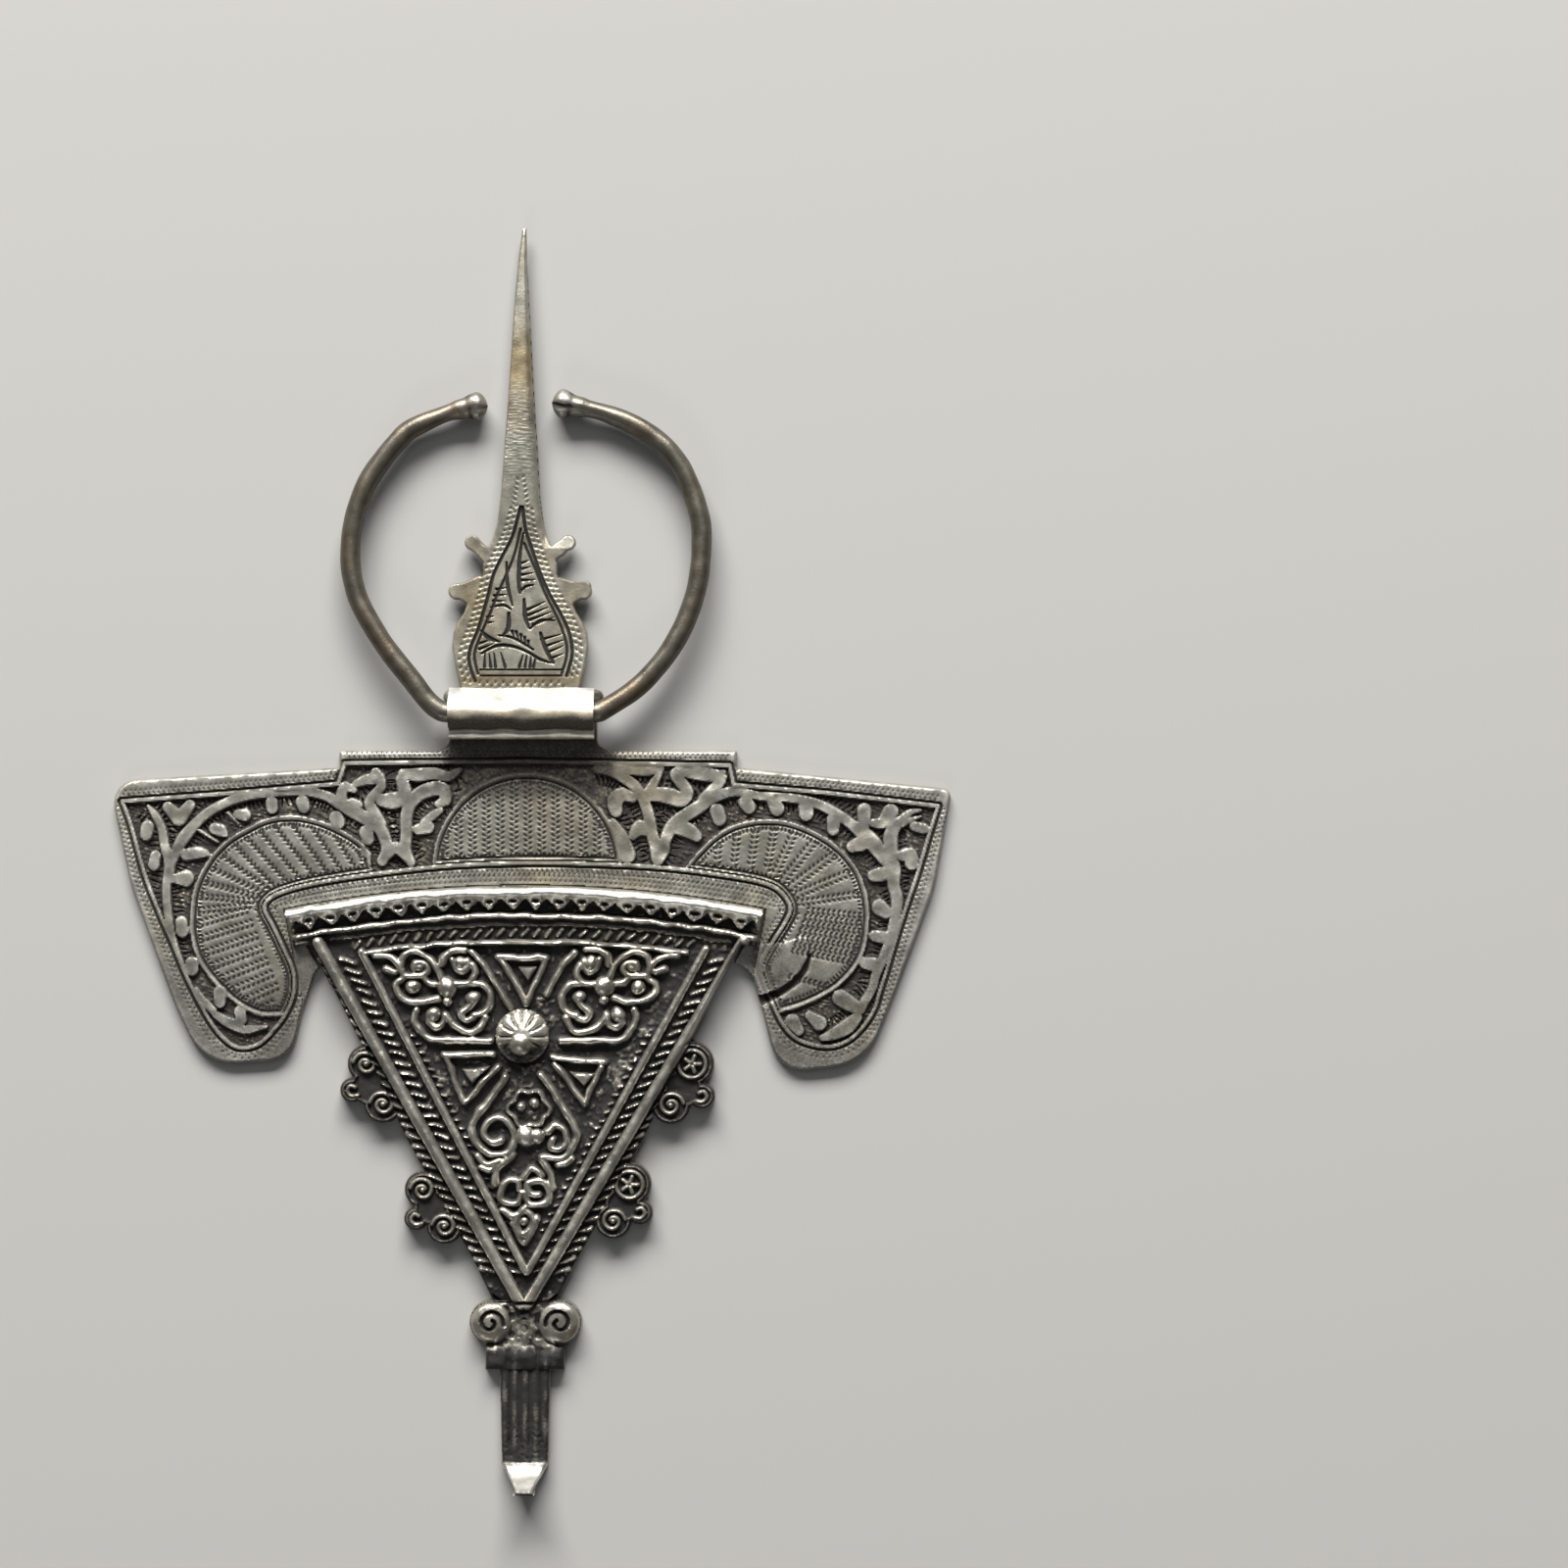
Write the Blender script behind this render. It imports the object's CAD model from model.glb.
"""Looks of the triangular cloak brooch: chased crest sheet, cast triangle, forged pin, sleeve and ring.
Lengths are worked in millimetres and turned into metres when a mesh is made."""

import bpy
import numpy as np
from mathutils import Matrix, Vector


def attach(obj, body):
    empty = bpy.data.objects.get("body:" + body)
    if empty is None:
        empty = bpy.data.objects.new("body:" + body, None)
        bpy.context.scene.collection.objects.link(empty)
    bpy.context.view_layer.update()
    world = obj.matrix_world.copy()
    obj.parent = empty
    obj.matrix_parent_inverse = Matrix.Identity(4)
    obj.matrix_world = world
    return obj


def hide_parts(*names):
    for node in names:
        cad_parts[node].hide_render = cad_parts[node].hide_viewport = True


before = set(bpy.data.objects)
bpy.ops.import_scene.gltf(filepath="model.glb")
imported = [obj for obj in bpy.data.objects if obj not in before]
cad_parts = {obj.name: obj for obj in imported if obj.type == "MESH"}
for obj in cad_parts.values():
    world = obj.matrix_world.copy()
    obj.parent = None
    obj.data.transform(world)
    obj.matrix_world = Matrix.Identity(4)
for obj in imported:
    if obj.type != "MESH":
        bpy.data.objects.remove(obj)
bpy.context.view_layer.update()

# Crest sheet. A silver sheet 1.5 mm thick, sawn to its winged outline and chased from the front: a punched
# border behind a double line, three panels of punched rows, and leafy vines left standing on a sunk ground.
# It is riveted under the casting's beam and carries the pin's foot and the sleeve on its neck.
SHEET_TOP = 1.5
ARCH_MIDDLE = -262.7
ARCH_R = 230.0
BEAM_REACH = 45.7
CREST_CELL = 0.23
GROUND_Z = 1.0
VINE_Z = 1.78
PANEL_Z = 1.62
BORDER_Z = 1.85
SCORE_PITCH = 0.85
GRAVER_PITCH = 0.95
GRAVER_HALF = 0.95
PUNCH_PITCH = 0.95
ROW_PITCH = 0.98
ROW_SIDE = 0.42
# Marks on a plate's side walls and on its back: grime, stain and wear; then the angle of its sharp edges
WALL_MARKS = (0.32, 0.1, 0.1)
BACK_MARKS = (0.45, 0.2, 0)
PLATE_CREASE = 40.0

# Double line round the ornament, in runs that are smooth between sharp corners
CREST_LINE = [
    [(0, -9.2), (-34.1, -9.6)], [(-35.4, -13.5)], [(-54.9, -15.2)],
    [(-76.3, -16.8), (-74.5, -21.8), (-72, -30.8), (-69.1, -38.3), (-66.6, -44), (-64.2, -49.8),
     (-61.3, -55.6), (-58.8, -59.7), (-56.3, -62.4), (-53.8, -63.5), (-50.5, -62.8), (-47.6, -60.1),
     (-45.2, -56.8), (-43.8, -53.1), (-43.9, -49), (-45.6, -44.9), (-47.6, -40.7), (-49.3, -37.4),
     (-48.9, -35.8), (-47.2, -34.5), (-43.5, -33.2), (-37.9, -32), (-29.4, -30.7), (-15, -29.1), (0, -28.5),
     (13, -28.7), (26.2, -29.4), (38.1, -30.9), (44.9, -32.2), (48.3, -33.9), (50.2, -37), (49.1, -39.9),
     (47, -43.2), (44.9, -46.9), (44.7, -49.4), (45.8, -52.7)],
    [(47.4, -56.4), (48.7, -58.9), (50.7, -61.3), (53.6, -62.7), (57.3, -63.3), (60.6, -62.4), (63.5, -60.1),
     (66, -56.4), (67.2, -52.7), (68.5, -48.6), (70.1, -43.2), (72.2, -36.6), (74.2, -30.8), (76.3, -23.8),
     (78.2, -17.7)],
    [(57.1, -15.2)], [(39.5, -13.7)], [(38.7, -10)]
]
# Rims of the three panels, the wings' from the middle outwards and down to the lobe
PANEL_LEFT = [
    (-29.4, -28.6), (-30, -26.2), (-32.4, -23.8), (-37.4, -21.2), (-41.5, -20), (-44.8, -19.7),
    (-48.9, -20.3), (-53, -22.2), (-56.3, -24.2), (-59.2, -27.1), (-61.3, -30.4), (-62.7, -34.1),
    (-63.2, -38.3), (-63.1, -42.4), (-62.1, -46.1), (-60.4, -49), (-58, -51.9), (-55.1, -54.6),
    (-52.2, -56.4), (-49.5, -57.3), (-46, -57.2)
]
PANEL_RIGHT = [
    (30, -30), (30.9, -28.8), (33, -26.3), (35.9, -23.6), (39.6, -21.5), (44.1, -20.5), (48.7, -20.6),
    (52.8, -21.8), (56.9, -23.9), (60.2, -26.5), (62.8, -29.8), (64.1, -32.9), (64.9, -36.8), (64.8, -41.4),
    (63.9, -45.5), (61.9, -49), (59, -51.9), (55.7, -53.9), (52, -55.5), (48.3, -56.6)
]
# Middle panel's arch: x, y and radius, and the half distance and gap of its double rows
PANEL_MIDDLE = (0.3, -29.4, 17.7)
MIDDLE_SIDE = 0.45
MIDDLE_GAP = 2.62
# Punched double rows of the wings' panels: x, y and heading of their inner ends
ROWS_LEFT = [
    (-31.5, -30.5, 122), (-46.5, -33.9, 134), (-50.6, -36.8, 196), (-45, -51, 204), (-46.5, -57.5, 206)
]
ROWS_RIGHT = [(27, -28.8, 92), (45.5, -31.6, 80), (51.4, -37.2, -6), (48.5, -44.5, -12), (47.5, -54, -20)]
ROW_COUNTS = (0, 6, 12, 18, 20)
# Torn tongue of the right wing, which stands over the lobe behind it, and the gap under it
TONGUE = [
    (44, -44), (49, -43.4), (53.2, -42.4), (53.7, -45.6), (52.5, -48.2), (51, -50.2), (48.7, -51.9),
    (46.6, -52.9), (44.1, -53.4), (42.9, -51.6), (41.4, -48.4)
]
TONGUE_TOP = -42.6
TONGUE_GAP = [
    (53.9, -45.9, 0.1), (53, -48.6, 0.35), (51.4, -50.9, 0.45), (48.6, -52.7, 0.6), (45.6, -54, 0.9),
    (43, -54.9, 1.3)
]

# Vines: each stem or leaf is a stroke through points of the form (x, y, half its width there)
VINES = [
    [(-64.5, -48.9, 0.6), (-65.7, -46.2, 0.68), (-66.9, -42.4, 0.76), (-67.7, -37.2, 0.81),
     (-67.9, -32.9, 0.87), (-67.3, -28.8, 1.03), (-68.3, -25, 0.87), (-68.8, -22, 0.81), (-70, -19.6, 0.71),
     (-71.4, -17.7, 0.27)],
    [(-66.9, -28.5, 0.81), (-65.7, -25.5, 1.03), (-64.2, -23.1, 1.14), (-60.9, -19.6, 0.87),
     (-57.4, -17.4, 0.87), (-53.3, -15.8, 0.92), (-48.5, -15.1, 0.92), (-42.5, -14.8, 0.87),
     (-37.9, -15.7, 0.9), (-35.2, -17.3, 1.03), (-32.8, -18.6, 1.22), (-30.3, -20, 1.22),
     (-27.8, -21.6, 1.22), (-26.6, -23.8, 1.14), (-26.2, -26, 1.03), (-27.1, -28.1, 0.95)],
    [(-67.6, -17.9, 1.03), (-65.7, -20, 1.36)], [(-63.5, -17.5, 0.98), (-65.4, -20, 1.36)],
    [(-71.5, -21.7, 1.22), (-71.8, -23.1, 1.14)], [(-70, -27.2, 1.03), (-70.3, -28.8, 1.09)],
    [(-66.9, -31.5, 0.68), (-64.3, -31.4, 1.57)],
    [(-64.2, -26.9, 1.09), (-61.5, -26.5, 1.03), (-59.7, -27, 0.22)],
    [(-58.8, -22, 1.03), (-57.7, -22.3, 1.14), (-56.6, -23.2, 0.41)],
    [(-54.4, -19.3, 0.87), (-53.1, -19.4, 1.14)], [(-48, -17, 1.14), (-47.9, -18.1, 1.09)],
    [(-42.2, -16.9, 1.25), (-41.9, -17.9, 1.14)], [(-65.1, -39.7, 1.14), (-64.9, -41.3, 1.25)],
    [(-63.1, -47.5, 1.25), (-63.1, -48.6, 1.25)], [(-61.7, -22.3, 0.27), (-58.2, -24.5, 0.16)],
    [(-56.3, -19, 0.22), (-54.3, -21.1, 0.14)],
    [(-62.3, -52.4, 0.49), (-60.9, -54.6, 0.67), (-59.1, -56.4, 0.76)],
    [(-58.7, -57.1, 0.67), (-56.7, -58.4, 0.94), (-54.6, -59.3, 1.08), (-53.3, -60.2, 0.67)],
    [(-57.8, -53, 1.3), (-57.8, -54.8, 1.12)], [(-54, -56.6, 1.12), (-53.7, -58.2, 1.01)],
    [(-52.4, -60, 0.85), (-49, -59.5, 0.27)],
    [(-21.6, -28.4, 0.81), (-22.7, -26, 1.03), (-22.5, -23, 1.09), (-22.5, -19.7, 1.14), (-21.6, -17, 1.22),
     (-19.5, -15.1, 1.3), (-16.8, -14.3, 1.36), (-15.4, -14.8, 1.3), (-15.1, -16.5, 1.14),
     (-16.5, -17.3, 0.68)],
    [(-23.4, -12.6, 1.1), (-22.8, -14.9, 1.3), (-23.4, -16.2, 1.4), (-25.2, -16.7, 1.5),
     (-27.2, -16.6, 1.15)],
    [(-23.2, -11.6, 0.9), (-20.3, -11.8, 1.25), (-17.4, -11.5, 1.1), (-14.5, -12.1, 0.9),
     (-12.4, -10.9, 0.5)],
    [(-34.4, -17.3, 1.09), (-34.8, -15.7, 1.0), (-34.1, -14.1, 1.0), (-32.4, -14.6, 0.6)],
    [(-27.6, -12.2, 1.0), (-27.2, -13.9, 0.85), (-28.3, -15.3, 0.9), (-29.5, -17, 1.0), (-28.7, -18.9, 1.15),
     (-27.4, -21.2, 1.15)],
    [(-19.2, -20.8, 0.7), (-17.6, -19.6, 0.8), (-16.1, -18.5, 0.6)],
    [(-31.2, -26.3, 0.6), (-29.9, -26.9, 0.7)],
    [(-32.1, -13.5, 0.65), (-30.1, -12.7, 0.98), (-28.4, -12.4, 1.09), (-28.3, -11.4, 0.98)],
    [(-32.8, -17, 0.81), (-31.7, -17.6, 0.95)], [(-35.8, -20, 1.36), (-35.3, -20.8, 1.22)],
    [(-30.1, -22.7, 1.36), (-29.8, -23.8, 1.22)], [(-20.3, -22.1, 1.0), (-18.4, -21.7, 1.2)],
    [(-27, -27.8, 0.7), (-25.6, -26.4, 0.9), (-24.6, -25.5, 1.05), (-23.4, -26.4, 0.9), (-21.8, -28.2, 0.7)],
    [(25.1, -27.6, 1.22), (24.6, -24.9, 1.14), (24, -23, 1.09), (23.5, -20, 1.09), (22.7, -17.3, 1.03),
     (21.3, -14.6, 1.03), (19.2, -12.7, 1.03), (16.7, -11.3, 0.95), (13.7, -10.6, 0.81)],
    [(20.4, -16.2, 0.8), (18.4, -15.5, 1.3), (17, -16.8, 1.5), (17.2, -18.6, 1.2)],
    [(23.6, -22.8, 0.7), (21.8, -21.8, 1.4), (20.4, -23.3, 0.8)],
    [(16.6, -20.6, 0.6), (18.3, -23.8, 1.3), (19.3, -27, 1.6)],
    [(13.7, -10.6, 0.9), (16.7, -10.6, 1.0), (19.2, -10.7, 1.05), (23.5, -10.8, 1.1), (25.7, -10.5, 0.68)],
    [(25.7, -11, 0.49), (24.3, -13.5, 0.87), (23.2, -15.1, 0.92)],
    [(23.8, -15.9, 0.9), (25.4, -15.5, 1.35), (27.6, -15.9, 1.5), (29.7, -16.5, 1.35), (30.7, -15.1, 1.15),
     (29.5, -13.2, 1.1), (28.5, -11.6, 1.1), (29.9, -11.1, 1.15), (33, -11.4, 1.4), (36.3, -11.9, 1.15),
     (37.6, -11.2, 0.41)],
    [(25.1, -27.9, 1.09), (26.2, -26, 1.14), (26.5, -24.3, 1.09), (27.8, -21.6, 1.25), (30.3, -19.5, 1.25),
     (33, -17.8, 1.25), (35.4, -16.2, 1.1), (39.7, -14.9, 0.9), (44.5, -15.8, 0.8), (48.7, -16, 0.84),
     (52.9, -16.6, 0.84), (56.5, -17.8, 0.9), (59.8, -19.7, 0.96), (62.2, -21.5, 1.05), (64.4, -23.3, 1.44),
     (65.9, -24.8, 1.5), (68, -27.6, 1.26), (69.5, -29.1, 1.5), (69.8, -32.7, 1.14), (70.4, -35.4, 1.14),
     (70.1, -38.4, 1.05), (69.5, -41.7, 1.05), (68.3, -45.3, 0.95), (66.5, -49.4, 0.9), (65.7, -52.3, 0.85),
     (64.2, -54.8, 0.9), (63.5, -56.2, 0.95)],
    [(33.6, -16.6, 1.0), (35.6, -14.6, 1.1), (37.2, -13, 0.8), (37.9, -12.2, 0.4)],
    [(28.9, -22.3, 0.8), (30.7, -22.2, 1.4), (32.5, -23.4, 1.0)], [(36.3, -18.6, 1.35), (36.8, -20.1, 1.3)],
    [(69.5, -27.6, 1.14), (69.2, -24.8, 1.35), (69.5, -22.4, 1.26), (71.3, -20.3, 0.9), (73.1, -18.8, 0.54),
     (74.9, -18.5, 0.24)],
    [(71.3, -21.2, 0.6), (73.1, -20.3, 0.45), (74.9, -19.7, 0.15)],
    [(64.2, -18.5, 1.32), (64.2, -20.3, 1.2), (64.1, -22.1, 0.96)],
    [(69.2, -18.8, 1.5), (67.7, -20.8, 1.14), (65.9, -20.9, 0.75)], [(73.7, -21.5, 0.9), (75.5, -22, 0.96)],
    [(71, -27.1, 0.9), (72.8, -27, 1.38), (73.2, -28.5, 1.32)], [(61.9, -25.4, 1.05), (63.5, -24.8, 1.5)],
    [(65.9, -30.9, 1.05), (67.4, -30.6, 1.38)], [(67.1, -36.9, 1.5), (68.3, -37.8, 1.2)],
    [(66.2, -42.3, 1.05), (68, -42.6, 1.14)], [(64.4, -47.4, 1.14), (65.9, -47.7, 1.35)],
    [(41.8, -17, 1.38), (42.4, -17.9, 1.26)], [(46.9, -16.4, 1.26), (47.7, -18.2, 1.38)],
    [(53.2, -17.9, 1.5), (53.2, -19.1, 1.38)], [(58.5, -20.3, 1.38), (58.3, -22.1, 1.14)],
    [(59.7, -54, 1.56), (61.4, -55.1, 1.47), (63.1, -56, 1.13)],
    [(56.3, -61.6, 0.62), (58.6, -60.8, 1.13), (61.1, -59.4, 1.42), (62.8, -57.7, 1.02)],
    [(53.8, -57.4, 0.85), (55.7, -58.8, 1.42)], [(50.6, -58.5, 1.42), (51.8, -60.2, 0.99)]
]


class Sheet:
    """A rectangle of metal seen from above: the places of its grid points and what is worked into it."""

    def __init__(self, low, high, cell):
        self.cell = cell
        self.x = np.arange(low[0], high[0] + cell, cell)
        self.y = np.arange(low[1], high[1] + cell, cell)
        self.shape = (len(self.y), len(self.x))
        self.xx, self.yy = np.meshgrid(self.x, self.y)

    def window(self, xs, ys, reach):
        """Rows and columns of the points that lie within reach of a stroke's box."""
        cols = np.array([min(xs) - reach, max(xs) + reach]) - self.x[0]
        rows = np.array([min(ys) - reach, max(ys) + reach]) - self.y[0]
        i = np.clip((cols / self.cell + [0, 1]).astype(int), 0, self.shape[1])
        j = np.clip((rows / self.cell + [0, 1]).astype(int), 0, self.shape[0])
        return slice(j[0], j[1]), slice(i[0], i[1])

    def near(self, strokes, reach=3.0):
        """Distance to the nearest stroke: on each leg the distance to its closest point, less the half
        width there, so that it is negative on the stroke itself."""
        d = np.full(self.shape, reach)
        for stroke in strokes:
            p = np.array([(q[0], q[1], q[2] if len(q) > 2 else 0.0) for q in stroke])
            legs = zip(p[:-1], p[1:]) if len(p) > 1 else [(p[0], p[0] + [1e-3, 0, 0])]
            for a, b in legs:
                rows, cols = self.window((a[0], b[0]), (a[1], b[1]), reach + max(a[2], b[2]))
                px = self.x[cols] - a[0]
                py = (self.y[rows] - a[1])[:, None]
                u = b - a
                t = np.clip((px * u[0] + py * u[1]) / (u[0] ** 2 + u[1] ** 2), 0, 1)
                leg = np.hypot(px - t * u[0], py - t * u[1]) - (a[2] + t * u[2])
                d[rows, cols] = np.minimum(d[rows, cols], leg)
        return d

    def disc(self, x, y, radius=0.0):
        """Distance to a disc's edge, negative inside it."""
        return np.hypot(self.xx - x, self.yy - y) - radius

    def uneven(self, scale, seed):
        """The smooth unevenness of wobble over the whole sheet."""
        return wobble(self.xx, self.yy, scale, seed)

    def read(self, values, px, py):
        """Values at any places, weighed between the four grid points round each."""
        u = np.clip((px - self.x[0]) / self.cell, 0, self.shape[1] - 1.001)
        v = np.clip((py - self.y[0]) / self.cell, 0, self.shape[0] - 1.001)
        i, j = u.astype(int), v.astype(int)
        u, v = u - i, v - j
        low = values[j, i] * (1 - u) + values[j, i + 1] * u
        high = values[j + 1, i] * (1 - u) + values[j + 1, i + 1] * u
        return low * (1 - v) + high * v

    def inside(self, loop):
        """True where a line to the left crosses the closed loop an odd number of times."""
        hit = np.zeros(self.shape, bool)
        loop = np.array(loop, float)[:, :2]
        for a, b in zip(loop, np.roll(loop, -1, axis=0)):
            rows = np.flatnonzero((self.y > a[1]) != (self.y > b[1]))
            cross = a[0] + (self.y[rows] - a[1]) * (b[0] - a[0]) / (b[1] - a[1] + 1e-12)
            hit[rows] ^= self.x[None, :] > cross[:, None]
        return hit

    def signed(self, loop, reach=4.0):
        """Distance to a closed loop, negative inside it."""
        closed = [tuple(p[:2]) for p in loop] + [tuple(loop[0][:2])]
        d = self.near([closed], reach)
        return np.where(self.inside(loop), -d, d)

    def dents(self, places, turns, long, wide, depth):
        """Depth of oval punch marks, each a shallow bowl: depth times 1 - (u / long)^2 - (v / wide)^2, with u
        and v measured along and across the mark."""
        marks = np.zeros(self.shape)
        k = int(np.ceil(max(long, wide) / self.cell)) + 1
        step = np.arange(-k, k + 1)
        i = np.rint((places[:, 0] - self.x[0]) / self.cell).astype(int)
        j = np.rint((places[:, 1] - self.y[0]) / self.cell).astype(int)
        ok = (i > k) & (i < self.shape[1] - k - 1) & (j > k) & (j < self.shape[0] - k - 1)
        i, j, places, turns = i[ok], j[ok], places[ok], turns[ok]
        cols = i[:, None, None] + step[None, None, :]
        rows = j[:, None, None] + step[None, :, None]
        ex = self.x[cols] - places[:, 0, None, None]
        ey = self.y[rows] - places[:, 1, None, None]
        c, s = np.cos(turns)[:, None, None], np.sin(turns)[:, None, None]
        bowl = depth * (1 - ((ex * c + ey * s) / long) ** 2 - ((ey * c - ex * s) / wide) ** 2)
        np.maximum.at(marks, tuple(np.broadcast_arrays(rows, cols)), np.maximum(bowl, 0))
        return marks


def ramp(values, start, full):
    """0 before the start, 1 past the full value, and a straight rise or fall between."""
    return np.clip((values - start) / (full - start), 0, 1)


def bell(distance, half):
    """Bell curve: e to the power of -(distance / half)^2."""
    return np.exp(-(distance / half) ** 2)


def step_up(d, width):
    """0 outside an edge and 1 further in than width, with a smooth slope between: 3 t^2 - 2 t^3."""
    t = np.clip(-d / width, 0, 1)
    return t * t * (3 - 2 * t)


def bead(d, half):
    """Half-round section: the root of 1 - (d / half)^2, and 0 outside."""
    return np.sqrt(np.clip(1 - (d / half) ** 2, 0, 1))


def curve(points, step=0.5, closed=False):
    """Points a step apart on the smooth line through the given ones: on each leg the cubic whose ends
    have half the difference of their neighbours as slope."""
    p = np.array(points, float)
    before = np.roll(p, 1, axis=0) if closed else np.vstack([p[:1], p[:-1]])
    after = np.roll(p, -1, axis=0) if closed else np.vstack([p[1:], p[-1:]])
    further = np.roll(after, -1, axis=0) if closed else np.vstack([after[1:], after[-1:]])
    out = []
    for k in range(len(p) if closed else len(p) - 1):
        a, b = p[k], after[k]
        n = max(int(np.hypot(*(b - a)[:2]) / step), 1)
        t = (np.arange(n) / n)[:, None]
        ma, mb = (b - before[k]) / 2, (further[k] - a) / 2
        out.append((2 * t**3 - 3 * t**2 + 1) * a + (t**3 - 2 * t**2 + t) * ma
                   + (3 * t**2 - 2 * t**3) * b + (t**3 - t**2) * mb)
    if not closed:
        out.append(p[-1:])
    return np.vstack(out)


def spaced(path, pitch, aside=0.0, start=0.0):
    """Places at an even pitch along a path, moved aside to its left, and the path's heading at each."""
    path = np.array(path, float)[:, :2]
    legs = np.diff(path, axis=0)
    run = np.concatenate([[0], np.cumsum(np.hypot(*legs.T))])
    at = np.arange(start * pitch, run[-1], pitch)
    x, y = np.interp(at, run, path[:, 0]), np.interp(at, run, path[:, 1])
    k = np.clip(np.searchsorted(run, at, side="right") - 1, 0, len(legs) - 1)
    turn = np.arctan2(legs[k, 1], legs[k, 0])
    return np.stack([x - aside * np.sin(turn), y + aside * np.cos(turn)], axis=1), turn


class Punches:
    """Oval punch marks, gathered row by row: their places and the way each leans."""

    def __init__(self):
        self.places = []
        self.turns = []

    def row(self, xs, ys, turn):
        """Marks at the given places, all leaning one way."""
        places = np.stack(np.broadcast_arrays(xs, ys), axis=1)
        self.places.append(places)
        self.turns.append(np.full(len(places), turn))

    def along(self, path, pitch, aside, start, lean):
        """Marks at an even pitch beside a path, leaning from its heading."""
        places, turns = spaced(path, pitch, aside, start)
        self.places.append(places)
        self.turns.append(turns + lean)

    def struck(self, sheet, long, wide, depth):
        """Depth of all the marks over a sheet."""
        return sheet.dents(np.vstack(self.places), np.concatenate(self.turns), long, wide, depth)


def on_arch(down, turn):
    """Place on the arch of the casting's beam: down from its crown line, at a turn from the right."""
    return np.stack([(ARCH_R - down) * np.cos(turn), ARCH_MIDDLE + (ARCH_R - down) * np.sin(turn)], axis=-1)


def soften(h, cells):
    """Mean of the height over a window, taken three times, which comes close to a bell curve."""
    width = 2 * cells + 1
    for axis in (0, 1) * 3:
        pad = [(cells + 1, cells) if a == axis else (0, 0) for a in (0, 1)]
        run = np.cumsum(np.pad(h, pad, mode="edge"), axis=axis)
        h = (np.take(run, range(width, run.shape[axis]), axis)
             - np.take(run, range(0, run.shape[axis] - width), axis)) / width
    return h


def hollows(h, cell):
    """How deep each place lies below its surroundings, near and wide: 0 on ridges, 1 in pits."""
    fine = soften(h, max(int(0.45 / cell), 1)) - h
    broad = soften(h, max(int(1.4 / cell), 1)) - h
    return np.clip(2.2 * fine + 0.9 * broad + 0.25, 0, 1)


def peaks(h, cell):
    """How far each place stands above its surroundings, where hands rub the metal bright."""
    return np.clip(2.4 * (h - soften(h, max(int(0.7 / cell), 1))) - 0.2, 0, 1)


def wobble(x, y, scale, seed, size=48):
    """Smooth hand-made unevenness between -1 and 1: random values on a coarse square net, blended."""
    net = np.random.default_rng(seed).uniform(-1, 1, (size, size))
    u, v = np.mod(x / scale, size), np.mod(y / scale, size)
    i, j = u.astype(int) % size, v.astype(int) % size
    s, t = u - np.floor(u), v - np.floor(v)
    s, t = s * s * (3 - 2 * s), t * t * (3 - 2 * t)
    i1, j1 = (i + 1) % size, (j + 1) % size
    return (net[j, i] * (1 - s) + net[j, i1] * s) * (1 - t) + (net[j1, i] * (1 - s) + net[j1, i1] * s) * t


def shade(mesh, crease):
    """Smooth faces, with sharp edges where two faces meet at more than the crease, in degrees."""
    mesh.shade_smooth()
    mesh.set_sharp_from_angle(angle=np.radians(crease))


def finish_mesh(name, points, faces, marks, crease):
    """Puts points, given in millimetres, and faces into a new piece with smooth faces and sharp creases."""
    mesh = bpy.data.meshes.new(name)
    mesh.from_pydata((np.asarray(points) * 0.001).tolist(), [], [list(f) for f in faces])
    for label, values in zip(("grime", "stain", "worn"), marks):
        mesh.attributes.new(label, "FLOAT", "POINT").data.foreach_set("value", values.astype(np.float32))
    mesh.validate()
    shade(mesh, crease)
    piece = bpy.data.objects.new(name, mesh)
    bpy.context.scene.collection.objects.link(piece)
    return piece


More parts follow.
